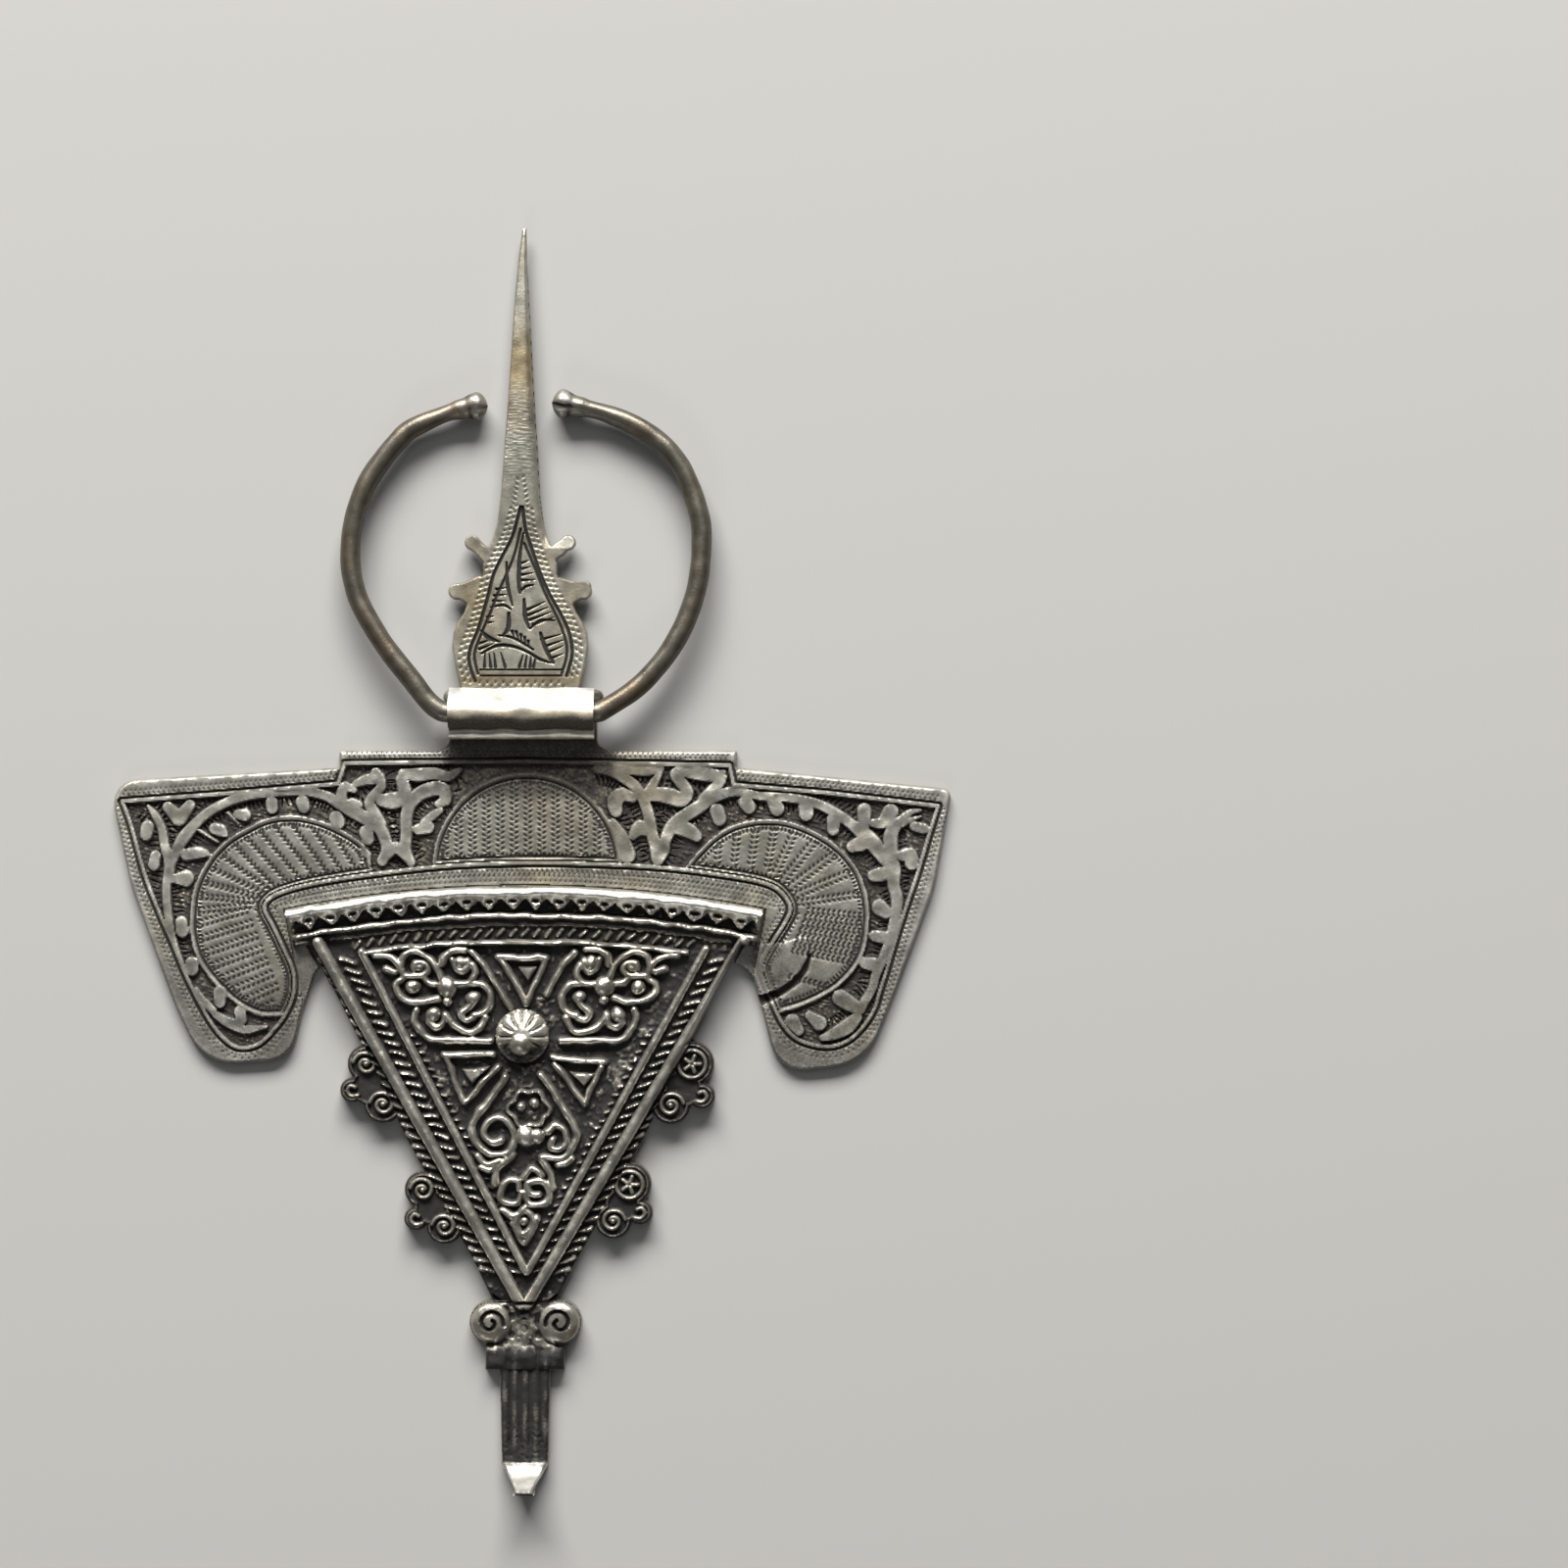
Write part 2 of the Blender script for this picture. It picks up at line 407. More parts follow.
def plate(name, sheet, edge, top, under, marks, most):
    """Closed plate between two height maps. Grid points within three quarters of a cell of the edge are moved
    onto it, down the slope of the distance; whole cells inside are kept, and a wall joins front and back.
    A Decimate modifier then merges cells where the metal is flat, down to the given number of triangles."""
    gy, gx = np.gradient(edge, sheet.cell)
    steep = np.maximum(gx**2 + gy**2, 0.25)
    tight = np.abs(edge) < 0.75 * sheet.cell
    px = np.where(tight, sheet.xx - edge * gx / steep, sheet.xx)
    py = np.where(tight, sheet.yy - edge * gy / steep, sheet.yy)
    # moved points take the rim's height, read just outside the place they moved to
    out = 0.6 * sheet.cell / np.sqrt(steep)
    top = np.where(tight, sheet.read(top, px + out * gx, py + out * gy), top)
    marks = [np.where(tight, wall, m) for m, wall in zip(marks, WALL_MARKS)]
    good = edge < 0.75 * sheet.cell
    middle = (edge[:-1, :-1] + edge[:-1, 1:] + edge[1:, 1:] + edge[1:, :-1]) / 4
    cells = good[:-1, :-1] & good[:-1, 1:] & good[1:, 1:] & good[1:, :-1] & (middle < 0.2 * sheet.cell)
    border = np.pad(cells, 1)
    used = border[:-1, :-1] | border[:-1, 1:] | border[1:, 1:] | border[1:, :-1]
    index = np.full(sheet.shape, -1)
    count = int(used.sum())
    index[used] = np.arange(count)
    a, b = index[:-1, :-1][cells], index[:-1, 1:][cells]
    c, d = index[1:, 1:][cells], index[1:, :-1][cells]
    faces = [np.stack([a, b, c, d], axis=1), np.stack([d, c, b, a], axis=1) + count]
    for dj, di, p, q in ((-1, 0, a, b), (0, 1, b, c), (1, 0, c, d), (0, -1, d, a)):
        open_side = ~border[1 + dj:border.shape[0] - 1 + dj, 1 + di:border.shape[1] - 1 + di][cells]
        p, q = p[open_side], q[open_side]
        faces.append(np.stack([q, p, p + count, q + count], axis=1))
    faces = np.vstack(faces)
    flat = np.stack([px[used], py[used]], axis=1)
    points = np.vstack([np.column_stack([flat, top[used]]), np.column_stack([flat, under[used]])])
    marks = [np.concatenate([m[used], np.full(count, back)]) for m, back in zip(marks, BACK_MARKS)]
    piece = finish_mesh(name, points, faces, marks, PLATE_CREASE)
    share = most / (2.0 * len(faces))
    if share < 1:
        thin = piece.modifiers.new("thin", "DECIMATE")
        thin.ratio = share
        bpy.context.view_layer.update()
        ready = bpy.data.meshes.new_from_object(piece.evaluated_get(bpy.context.evaluated_depsgraph_get()))
        piece.modifiers.clear()
        piece.data = ready
        ready.name = name
        shade(ready, PLATE_CREASE)
    return piece


def cad_outline(node, height):
    """Outline of a CAD node's flat face at a height: the edges that only one of its triangles has, joined
    end to end; the longest loop is the outer one."""
    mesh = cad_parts[node].data
    mesh.calc_loop_triangles()
    p = np.empty(3 * len(mesh.vertices), np.float32)
    mesh.vertices.foreach_get("co", p)
    p = p.reshape(-1, 3).astype(float) * 1000
    tri = np.empty(3 * len(mesh.loop_triangles), np.int32)
    mesh.loop_triangles.foreach_get("vertices", tri)
    tri = tri.reshape(-1, 3)
    tri = tri[np.all(np.abs(p[tri][:, :, 2] - height) < 0.004, axis=1)]
    places, same = np.unique(np.round(p, 3), axis=0, return_inverse=True)
    tri = same.ravel()[tri]
    edges = np.vstack([tri[:, [0, 1]], tri[:, [1, 2]], tri[:, [2, 0]]])
    once, counts = np.unique(np.sort(edges, axis=1), axis=0, return_counts=True)
    rim = {tuple(e) for e in once[counts == 1]}
    follow = {e[0]: e[1] for e in edges.tolist() if tuple(sorted(e)) in rim}
    loops = []
    while follow:
        here = next(iter(follow))
        loop = []
        while here in follow:
            loop.append(here)
            here = follow.pop(here)
        loops.append(places[loop][:, :2])
    return max(loops, key=lambda loop: np.sum(np.hypot(*np.diff(loop, axis=0).T)))


def crest_panels(sheet, line):
    """Distance to the three panels, which keep clear of the double line, and the curves of their rims."""
    left, right = curve(PANEL_LEFT), curve(PANEL_RIGHT)
    x, y, radius = PANEL_MIDDLE
    turn = np.radians(np.linspace(2, 178, 60))
    arc = np.stack([x + radius * np.cos(turn), y + radius * np.sin(turn)], axis=1)
    loops = [np.vstack([left, [(-42, -60), (-30, -50), (-25, -36)]]), arc,
             np.vstack([right, [(42, -58), (34, -50), (26, -36)]])]
    panel = np.minimum.reduce([sheet.signed(loop) for loop in loops])
    return np.maximum(panel, line + 0.45), (left, right, arc)


def graver_strokes(stems):
    """Short cuts across the ground beside the long stems; each widens away from its start and turns from
    the stem's square by 0.3 times the sine of its place."""
    strokes = []
    for stem in (s for s in stems if len(s) >= 12):
        for side in (-1, 1):
            places, turns = spaced(stem, GRAVER_PITCH, 2.0 * side)
            lean = turns + 0.3 * np.sin(places.sum(axis=1))
            half = GRAVER_HALF * np.stack([-np.sin(lean), np.cos(lean)], axis=1)
            strokes += [[(*p, 0.14), (*q, 0.24)] for p, q in zip(places - half, places + half)]
    return strokes


def border_punches(double):
    """Two rows of marks behind the double line and three along the casting's beam."""
    punches = Punches()
    for aside, start, lean in ((-1.25, 0, 2.1), (-1.95, 0.5, 1.0)):
        punches.along(np.vstack([double, double[:1]]), PUNCH_PITCH, aside, start, lean)
    turn = np.radians(90 + np.linspace(-11.8, 11.8, 200))
    for out, start, lean in ((0.95, 0, 1.2), (1.85, 0.5, 1.9), (2.75, 0, 1.2)):
        punches.along(on_arch(-out, turn), PUNCH_PITCH, 0, start, lean)
    return punches


def panel_punches(left, right, arc, double):
    """Double rows of marks that lean towards each other: upright in the middle panel, fanned out in the
    wings', and one row inside every rim."""
    punches = Punches()
    for x in np.arange(-15.5, 16.6, MIDDLE_GAP):
        for side in (-1, 1):
            up = np.arange(-28.2 + 0.5 * (side > 0), -12, 1.0)
            punches.row(PANEL_MIDDLE[0] + x + MIDDLE_SIDE * side, up, 0.55 * side)
    r = np.arange(2.2, 26, ROW_PITCH)
    for table in (np.array(ROWS_LEFT, float), np.array(ROWS_RIGHT, float)):
        for k in np.arange(0, 20.5):
            px, py, heading = (np.interp(k, ROW_COUNTS, table[:, c]) for c in (0, 1, 2))
            a = np.radians(heading)
            for side in (-ROW_SIDE, ROW_SIDE):
                across = px + r * np.cos(a) - side * np.sin(a)
                punches.row(across, py + (r + side) * np.sin(a) + side * np.cos(a), a + 0.85 * np.sign(side))
    for path, aside in ((left, 1.5), (right, -1.5), (arc, 1.5), (double, 1.55)):
        punches.along(path, 0.8, aside, 0, 1.4)
    return punches


def chased_crest():
    """Height of the crest's front over its plan, from distances to the edge, the double line, the panels'
    rims and the vines, and how grimy, stained and worn each place is."""
    outline = cad_outline("crest_plate", 0.0)
    sheet = Sheet(outline.min(0) - 1, outline.max(0) + 1, CREST_CELL)
    x, y = sheet.xx, sheet.yy
    edge = sheet.signed(outline)
    double = np.vstack([curve(run) if len(run) > 1 else np.array(run) for run in CREST_LINE])
    line = sheet.signed(double)
    # sunk ground, scored across by the graver
    sunk = step_up(line + 0.3, 0.25)
    score = np.where(y > -17, x + 0.3 * y, 0.35 * x + y)
    score = np.sin(score * 2 * np.pi / SCORE_PITCH + 2.5 * sheet.uneven(2.0, 4))
    pitted = sheet.uneven(0.45, 3)
    rough = 0.1 * score + 0.2 * pitted + 0.06 * sheet.uneven(2.0, 7)
    h = BORDER_Z * (1 - sunk) + (GROUND_Z + rough) * sunk
    # panels
    panel, (left, right, arc) = crest_panels(sheet, line)
    lift = step_up(panel, 0.3)
    h = np.where(panel < 0.1, np.maximum(h, h * (1 - lift) + PANEL_Z * lift), h)
    h = np.maximum(h, GROUND_Z + 0.75 * bead(sheet.near([left, right, arc]), 0.5) * (line < 0))
    h -= 0.4 * bead(np.where(panel < 0, panel + 0.78, 9), 0.3)
    # vines
    stems = [curve(vine, 0.6) if len(vine) > 2 else vine for vine in VINES]
    vine = np.where(line < -0.1, sheet.near(stems, 1.0) - 0.2, 1.0)
    on_ground = (vine > 0) & (line < -0.4) & (panel > 0.1)
    hatch = step_up(sheet.near(graver_strokes(stems), 1.0), 0.14) * on_ground
    h -= 0.42 * hatch
    raised = GROUND_Z + (VINE_Z - GROUND_Z + 0.22 * sheet.uneven(2.2, 17)) * step_up(vine, 0.3)
    h = np.where(vine < 0, np.maximum(h, raised), h)
    # double line and punch marks
    h = np.maximum(h, np.where(np.abs(line) < 0.45, 1.25 + 0.6 * bead(line, 0.4), 0))
    h -= 0.55 * bead(line - 0.62, 0.3)
    marks = border_punches(double).struck(sheet, 0.42, 0.25, 0.17) * (line > 0.85)
    rows = panel_punches(left, right, arc, double).struck(sheet, 0.6, 0.32, 0.24)
    marks = np.maximum(marks, rows * ((panel < -1.1) & (line < -1.1)))
    h -= marks
    # torn tongue and the shadow gap under it
    tongue = sheet.signed(curve(TONGUE, closed=True))
    h += 0.42 * step_up(tongue, 0.25) * (y < TONGUE_TOP)
    gap = np.where(tongue > 0, step_up(sheet.near([TONGUE_GAP]) - 0.45, 0.7), 0)
    h -= 0.85 * gap
    # worn and bevelled edge, and the lap under the casting
    h += 0.05 * sheet.uneven(2.3, 5) + 0.02 * sheet.uneven(0.6, 6)
    h = np.minimum(h, 0.9 + np.sqrt(np.clip(-edge / 0.55, 0, 1)))
    beyond = np.hypot(x, y - ARCH_MIDDLE) - ARCH_R
    lapped = (beyond < 0.15) & (np.abs(x) < BEAM_REACH * (1 + beyond / ARCH_R))
    h = np.where(lapped, np.minimum(h, SHEET_TOP), h)
    # black in the hollows and on the ground, dull at the middle, the lower wings and the neck
    low = sunk * (vine > 0.05) * (panel > 0.1)
    film = 0.74 - 0.2 * pitted + 0.25 * sheet.uneven(0.6, 8) + 0.25 * sheet.uneven(5.0, 9)
    grime = np.maximum.reduce([hollows(h, sheet.cell), film * low, 4.8 * marks, hatch, 0.9 * gap])
    neck = ramp(y, -20, -15) * ramp(np.abs(x - 1), 18, 15)
    middle = bell(x - 8, 22)
    dull = np.maximum(np.clip((-34 - y) / 15, 0, 1.15), 0.8 * middle) + 0.2 * sheet.uneven(8.0, 10)
    grime = np.maximum.reduce([np.clip(grime, 0, 1), 0.6 * neck, 0.42 * dull])
    worn = 0.45 * peaks(h, sheet.cell) * (neck < 0.5)
    return sheet, edge, h, (grime, 0.45 * low + 0.35 * middle, worn)


def aged_silver(name, clean, dark, rough, tint=0.25, stain=(0.36, 0.3, 0.2), stain_scale=60.0, worn=0.55,
                metal_part=0.7):
    """Silver whose hollows hold a black patina. The grime attribute, broken up by fine noise, mixes a clean
    worn metal with the dark film; a broad noise adds warm stains, and a fine one breaks up the gloss."""
    mat = bpy.data.materials.new(name)
    mat.use_nodes = True
    nodes, links = mat.node_tree.nodes, mat.node_tree.links
    nodes.clear()

    def node(kind, fed=(), sockets=(), **settings):
        """A node of a kind: what feeds it, each as a node and one of its outputs, then its constant
        sockets and its own settings."""
        made = nodes.new("ShaderNode" + kind)
        for key, value in settings.items():
            setattr(made, key, value)
        for key, value in dict(sockets).items():
            made.inputs[key].default_value = value
        for key, (source, out) in dict(fed).items():
            links.new(source.outputs[out], made.inputs[key])
        return made

    def noise(scale, detail, roughness):
        """Noise in the piece's own coordinates."""
        return node("TexNoise", {"Vector": (place, "Object")},
                    {"Scale": scale, "Detail": detail, "Roughness": roughness})

    place = node("TexCoord")
    fine, broad, cloud = noise(2400.0, 4.0, 0.65), noise(stain_scale, 5.0, 0.6), noise(320.0, 4.0, 0.6)
    grime, spot, rubbed = (node("Attribute", attribute_name=label) for label in ("grime", "stain", "worn"))
    # dark film where there is grime, with a ragged edge
    scatter = node("Math", {0: (fine, "Fac")}, {1: 0.5, 2: -0.25}, operation="MULTIPLY_ADD")
    summed = node("Math", {0: (grime, "Fac"), 1: (scatter, 0)}, operation="ADD")
    film = node("MapRange", {"Value": (summed, 0)}, {"From Min": 0.22, "From Max": 0.2 + worn},
                interpolation_type="SMOOTHSTEP")
    # clean metal with warm stains, rubbed bright places and a mottled tone
    warm = node("MapRange", {"Value": (broad, "Fac")}, {"From Min": 0.45, "From Max": 0.7, "To Max": tint},
                interpolation_type="SMOOTHSTEP")
    warmer = node("Math", {0: (warm, "Result"), 1: (spot, "Fac")}, operation="ADD", use_clamp=True)
    metal = node("Mix", {0: (warmer, 0)}, {6: (*clean, 1), 7: (*stain, 1)}, data_type="RGBA")
    bare = node("Mix", {0: (rubbed, "Fac"), 6: (metal, 2)}, {7: (0.8, 0.78, 0.72, 1)}, data_type="RGBA")
    mottle = node("MapRange", {"Value": (cloud, "Fac")},
                  {"From Min": 0.3, "From Max": 0.7, "To Min": 0.62, "To Max": 1.12})
    shaded = node("Mix", {6: (bare, 2), 7: (mottle, "Result")}, {0: 1.0}, data_type="RGBA",
                  blend_type="MULTIPLY")
    colour = node("Mix", {0: (film, "Result"), 6: (shaded, 2)}, {7: (*dark, 1)}, data_type="RGBA")
    # gloss, broken up by the cloudy noise, and the finest grain as bump
    gloss = node("MapRange", {"Value": (film, "Result")}, {"To Min": rough, "To Max": 0.72})
    streak = node("Math", {0: (cloud, "Fac"), 2: (gloss, "Result")}, {1: 0.22}, operation="MULTIPLY_ADD")
    lowered = node("Math", {0: (streak, 0)}, {1: 0.11}, operation="SUBTRACT", use_clamp=True)
    bump = node("Bump", {"Height": (fine, "Fac")}, {"Strength": 0.5, "Distance": 0.00012})
    metallic = node("MapRange", {"Value": (film, "Result")}, {"To Min": metal_part, "To Max": 0.25})
    shader = node("BsdfPrincipled", {"Metallic": (metallic, "Result"), "Base Color": (colour, 2),
                                     "Roughness": (lowered, 0), "Normal": (bump, "Normal")})
    node("OutputMaterial", {"Surface": (shader, "BSDF")})
    return mat


sheet, edge, height, marks = chased_crest()
crest = plate("crest", sheet, edge, height, np.zeros(sheet.shape), marks, 190000)
crest.data.materials.append(aged_silver("chased silver", (0.23, 0.224, 0.2), (0.018, 0.0135, 0.011), 0.5,
                                        tint=0.5, stain=(0.225, 0.195, 0.13), metal_part=0.6))
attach(crest, "brooch")
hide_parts("crest_plate")

# Casting. The heavy triangle is cast in one piece with its beam, rods, scrolls, side lobes and tail, then
# cleaned up with files and punches; the scrolls stand on a solid ground that has gone black.
CAST_CELL = 0.2
CAST_GROUND = 2.3
LAP = 5.3
LAP_Z = 1.55
BEAM_HALF = 45.3
BEAM_DEEP = 7.4
ROLL_Z = 4.7
ROLL_HALF = 1.5
STUD_TURN = 1.09
PIT_DOWN = 2.9
ROPE_TURN = 0.585
ROPE_PITCH = 1.95
GRAIN_PITCH = 1.6
LEFT_EDGE = [(-41.4, -43.3), (-36, -52.9), (-30.4, -64), (-22.4, -80.7), (-9.1, -105), (-5.9, -111.7)]
ROD_TOP = 5.2
THIN_ROD_TOP = 4.5
# Rods: top end, bottom end and half width
RODS = [
    [(-39, -43.4, 1.1), (-0.7, -111.7, 1.1)], [(41.5, -43, 1.1), (0.5, -111.7, 1.1)],
    [(-30.8, -45.2, 0.72), (0.3, -105.7, 0.72)], [(34.2, -44.7, 0.72), (0.5, -105.7, 0.72)]
]
# Lobes on the sides: x, y, radius, and turns of the spiral on it
LOBES = [
    (31.6, -66.4, 4.2, 0), (33.5, -72.5, 2.5, 0), (27.6, -74.2, 3.7, 1.4), (29.9, -71, 3.9, 0),
    (19.8, -89.2, 4.1, 0), (21.8, -94.5, 2.4, 0), (16.7, -96.1, 3.5, 1.4), (18.5, -93, 3.6, 0),
    (-30, -66.4, 3.6, -1.4), (-32.6, -71.4, 2.4, 0), (-26.8, -74, 3.7, -1.4), (-29.3, -70.6, 3.8, 0),
    (-19.3, -90.2, 3.5, -1.4), (-20.6, -95.7, 2.3, 0), (-15.2, -97.1, 3.5, -1.4), (-17.6, -93.5, 3.6, 0)
]
END_SCROLLS = [(-6.5, -115.3, 4.0), (6.5, -115.3, 4.2)]
# Web behind the end scrolls and collar below it: middle, half width and half height
WEB_Y = -116.5
WEB_HALF = 6.3
WEB_DEEP = 5.2
COLLAR_Y = -122
COLLAR_HALF = 7.5
COLLAR_DEEP = 2.3
TAIL_TOP = -121
TAIL_HALF = 4.8
TAIL_T = 2.6
RIBS = 5
TAIL_END = -147.4
# The tail's turned-up end: where it starts, the bend's radius, length and rise, and the slope beyond
BEND_Y = -141.3
BEND_R = 3.3
BEND_RUN = 2.9
BEND_RISE = 1.72
HOOK_SLOPE = 1.8
# Scroll wires of one upper corner, drawn on the left and turned over for the right
CORNER_WIRES = [
    [(-28.5, -45.9), (-26, -45.9), (-24.3, -47), (-23.4, -48.3), (-22.9, -49.8)],
    [(-23.6, -48.6), (-22.9, -46.4), (-21.4, -45.3), (-19.6, -45.3), (-17.7, -46.7), (-16.3, -48.6),
     (-15.6, -50.1)],
    [(-22.9, -49.8), (-21.1, -49.8), (-19.4, -49.8), (-18.3, -48.6), (-19.1, -47.3), (-20.5, -47.5),
     (-20.8, -48.6)],
    [(-26.3, -48.6), (-24.5, -48.9)],
    [(-22.9, -50.2), (-24.3, -51.3), (-23.9, -53.2), (-22, -54.5), (-19.6, -54.7), (-16.5, -54.1)],
    [(-19.4, -49.8), (-18.3, -51), (-16.8, -51.3)],
    [(-11.1, -44.9), (-13.7, -44.9), (-15.1, -46.1), (-15.6, -47.6)],
    [(-13.7, -46.7), (-13.1, -48.3), (-11.9, -48.9), (-10.7, -47.9), (-10.7, -46.9)],
    [(-9.9, -47.6), (-9.4, -49.2), (-10.7, -51), (-13.1, -51.3)],
    [(-10.4, -51), (-8.2, -51.3), (-6.7, -53.2), (-6.7, -55.6), (-7.9, -56.8), (-9.4, -57.1)],
    [(-9.6, -53.8), (-9.8, -54.7), (-10.8, -55.9), (-11.9, -56.8), (-11.1, -58.1), (-9.6, -57.6)],
    [(-20.5, -56.2), (-20.8, -58.1), (-19.6, -60.2), (-17.7, -61.8), (-13.4, -61.9), (-6.4, -62.1)],
    [(-17.7, -57.1), (-18, -58.4), (-16.8, -59.4), (-15.4, -58.8), (-15.1, -57.5)],
    [(-15, -57.1), (-13.7, -58.7), (-11.9, -60.2), (-9.8, -60.5), (-8.2, -59.3), (-7.6, -57.8)]
]
# The right corner is turned over about a line half this far right of the middle
MIRROR_SHIFT = 0.4
WIRE_RISE = 1.9
WIRE_HALF = 0.82
BAR_HALF = 0.72
# Balls of the same corner, and the balls of the middle: x, y, radius
CORNER_BALLS = [
    (-21.1, -51.9, 1.3), (-9.8, -53.8, 1.2), (-17.3, -57.1, 1.3), (-14.7, -51.9, 1.8), (-14.7, -54.4, 0.9),
    (-12.1, -47.3, 1.3), (-20, -48.3, 0.9)
]
MIDDLE_BALLS = [
    (0.2, -79.9, 1.8), (2.3, -79.9, 1.3), (-0.5, -74.5, 0.8), (1.9, -73.8, 0.8), (-0.2, -96.1, 0.9)
]
# Bars and wires of the middle
BARS = [
    [(-9.9, -45.2), (-7.6, -47.9), (-5.2, -51.6), (-2.7, -55.9)], [(9.3, -45.2), (7, -47.9), (4.2, -53)],
    [(-5, -46.3), (4.1, -46.3)], [(-4.6, -46.6), (-2.2, -50.4), (0.3, -55)],
    [(3.9, -46.6), (2.2, -50.4), (0.3, -55)], [(-15.2, -64.7), (-5.9, -64.6)],
    [(-14.7, -65), (-13.3, -69.6), (-11.2, -73.8)], [(-11.2, -73.8), (-8.3, -70.3), (-5.1, -67.1)],
    [(5.1, -65.2), (12.2, -65.7), (15, -66)], [(5.5, -66.4), (8.7, -70.3), (11.5, -74.2)],
    [(14.3, -66.8), (12.2, -71.4), (11.5, -74.2)]
]
MIDDLE_WIRES = [
    [(-3.7, -68.9), (-6.2, -72.4), (-9.4, -76.7), (-10.1, -79.1), (-9, -81.6), (-6.6, -83.4), (-3.7, -83.4),
     (-2.1, -82), (-2, -79.5), (-3.7, -77), (-5.9, -76.7), (-7.4, -78.1), (-7.6, -79.9), (-6.2, -81.3),
     (-4.4, -80.9)],
    [(3, -68.5), (5.5, -72.1), (8.3, -76.3), (9.9, -79.5), (9.4, -81.3), (8.3, -83), (6.2, -84.3),
     (3.4, -83.9)],
    [(4.1, -79.1), (5.8, -77.9), (7.6, -79.1), (8, -81.3), (6.5, -82.5), (4.8, -82), (5.1, -80.6)],
    [(-2.3, -83.4), (-4.4, -85.2), (-5.5, -87.3), (-5.7, -89.1)], [(3.4, -84.5), (4.8, -87.3), (5.5, -89.8)],
    [(-0.2, -88), (1.4, -86.2), (3.4, -87.6)],
    [(-0.5, -90.8), (-1.3, -92.6), (-3, -92.8), (-4.6, -91.5), (-4.1, -89.4), (-2.8, -88.2), (-1.3, -88.7),
     (-1.1, -89.9)],
    [(0.2, -90.8), (0.9, -92.8), (3, -93), (4.8, -91.5), (4.4, -89.4), (2.6, -88.4), (0.7, -89.1),
     (1.2, -90.8), (2.6, -91)],
    [(-4.1, -94), (-2.3, -95.1), (-0.5, -94.4), (0.2, -93.3)],
    [(-0.2, -93.7), (-1.6, -96.1), (-0.2, -98.6), (1.6, -95.8), (-0.2, -93.7)],
    [(-2, -96.5), (0, -100), (2.3, -95.4)], [(-9, -83.8), (-7.3, -85.2), (-4.8, -84.8)],
    [(-8.3, -85.9), (-6.6, -86.4), (-5.3, -85.5)], [(6.2, -85.5), (7.6, -85.2), (8.7, -84.1)]
]
MEDALLION = (0.9, -74.9, 3.7, 3.2)
ROSETTE = (-0.4, -61.1, 5.1)
# Raised triangles inside the small frames
FRAMED = [
    [(-1.7, -47.7), (2.6, -47.7), (0.4, -51.4)], [(-12.3, -67.3), (-6.2, -66.6), (-9.9, -70.5)],
    [(8.0, -67.6), (13.7, -68), (11.1, -71)]
]


def whirl(x, y, radius, turns, start, steps=26, fall=0.76):
    """Spiral that winds in from its radius, which falls evenly with the angle by the given share of it."""
    s = np.linspace(0, 1, steps)
    a = np.radians(start) + 2 * np.pi * turns * s
    r = radius * (1 - fall * s)
    return np.stack([x + r * np.cos(a), y + r * np.sin(a)], axis=1)


def cast_plan(sheet):
    """Distances to the casting's parts from above, negative inside each: how far down from the arch, and
    past the beam's square ends, then to the triangle, lobes, web behind the end scrolls, collar and tab."""
    x, y = sheet.xx, sheet.yy
    r = np.hypot(x, y - ARCH_MIDDLE)
    down = ARCH_R - r
    beam_end = np.abs(x) - BEAM_HALF * (r / ARCH_R)
    side = LEFT_EDGE + [(-px, py) for px, py in LEFT_EDGE[::-1]]
    body = sheet.signed(side + [(41.4, -40), (0, -36.5), (-41.4, -40)])
    lobe = np.minimum.reduce([sheet.disc(lx, ly, lr) for lx, ly, lr, _ in LOBES])
    ends = np.minimum.reduce([sheet.disc(*end) for end in END_SCROLLS])
    web = np.maximum(np.abs(x) - WEB_HALF, np.abs(y - WEB_Y) - WEB_DEEP)
    collar = np.maximum(np.abs(x) - COLLAR_HALF, np.abs(y - COLLAR_Y) - COLLAR_DEEP)
    narrow = np.interp(-y, [-BEND_Y + 1, -BEND_Y + 5.2, 200], [1, 0.46, 0.46])
    half = TAIL_HALF * (0.92 + 0.08 * ramp(y, BEND_Y, BEND_Y + 18)) * narrow
    tab = np.maximum.reduce([np.abs(x) - half, y - TAIL_TOP, TAIL_END - y])
    beam = np.maximum.reduce([-down, down - BEAM_DEEP, beam_end])
    edge = np.minimum.reduce([beam, body, lobe, ends, web, collar, tab])
    return edge, down, beam_end, body, lobe, web, collar, tab


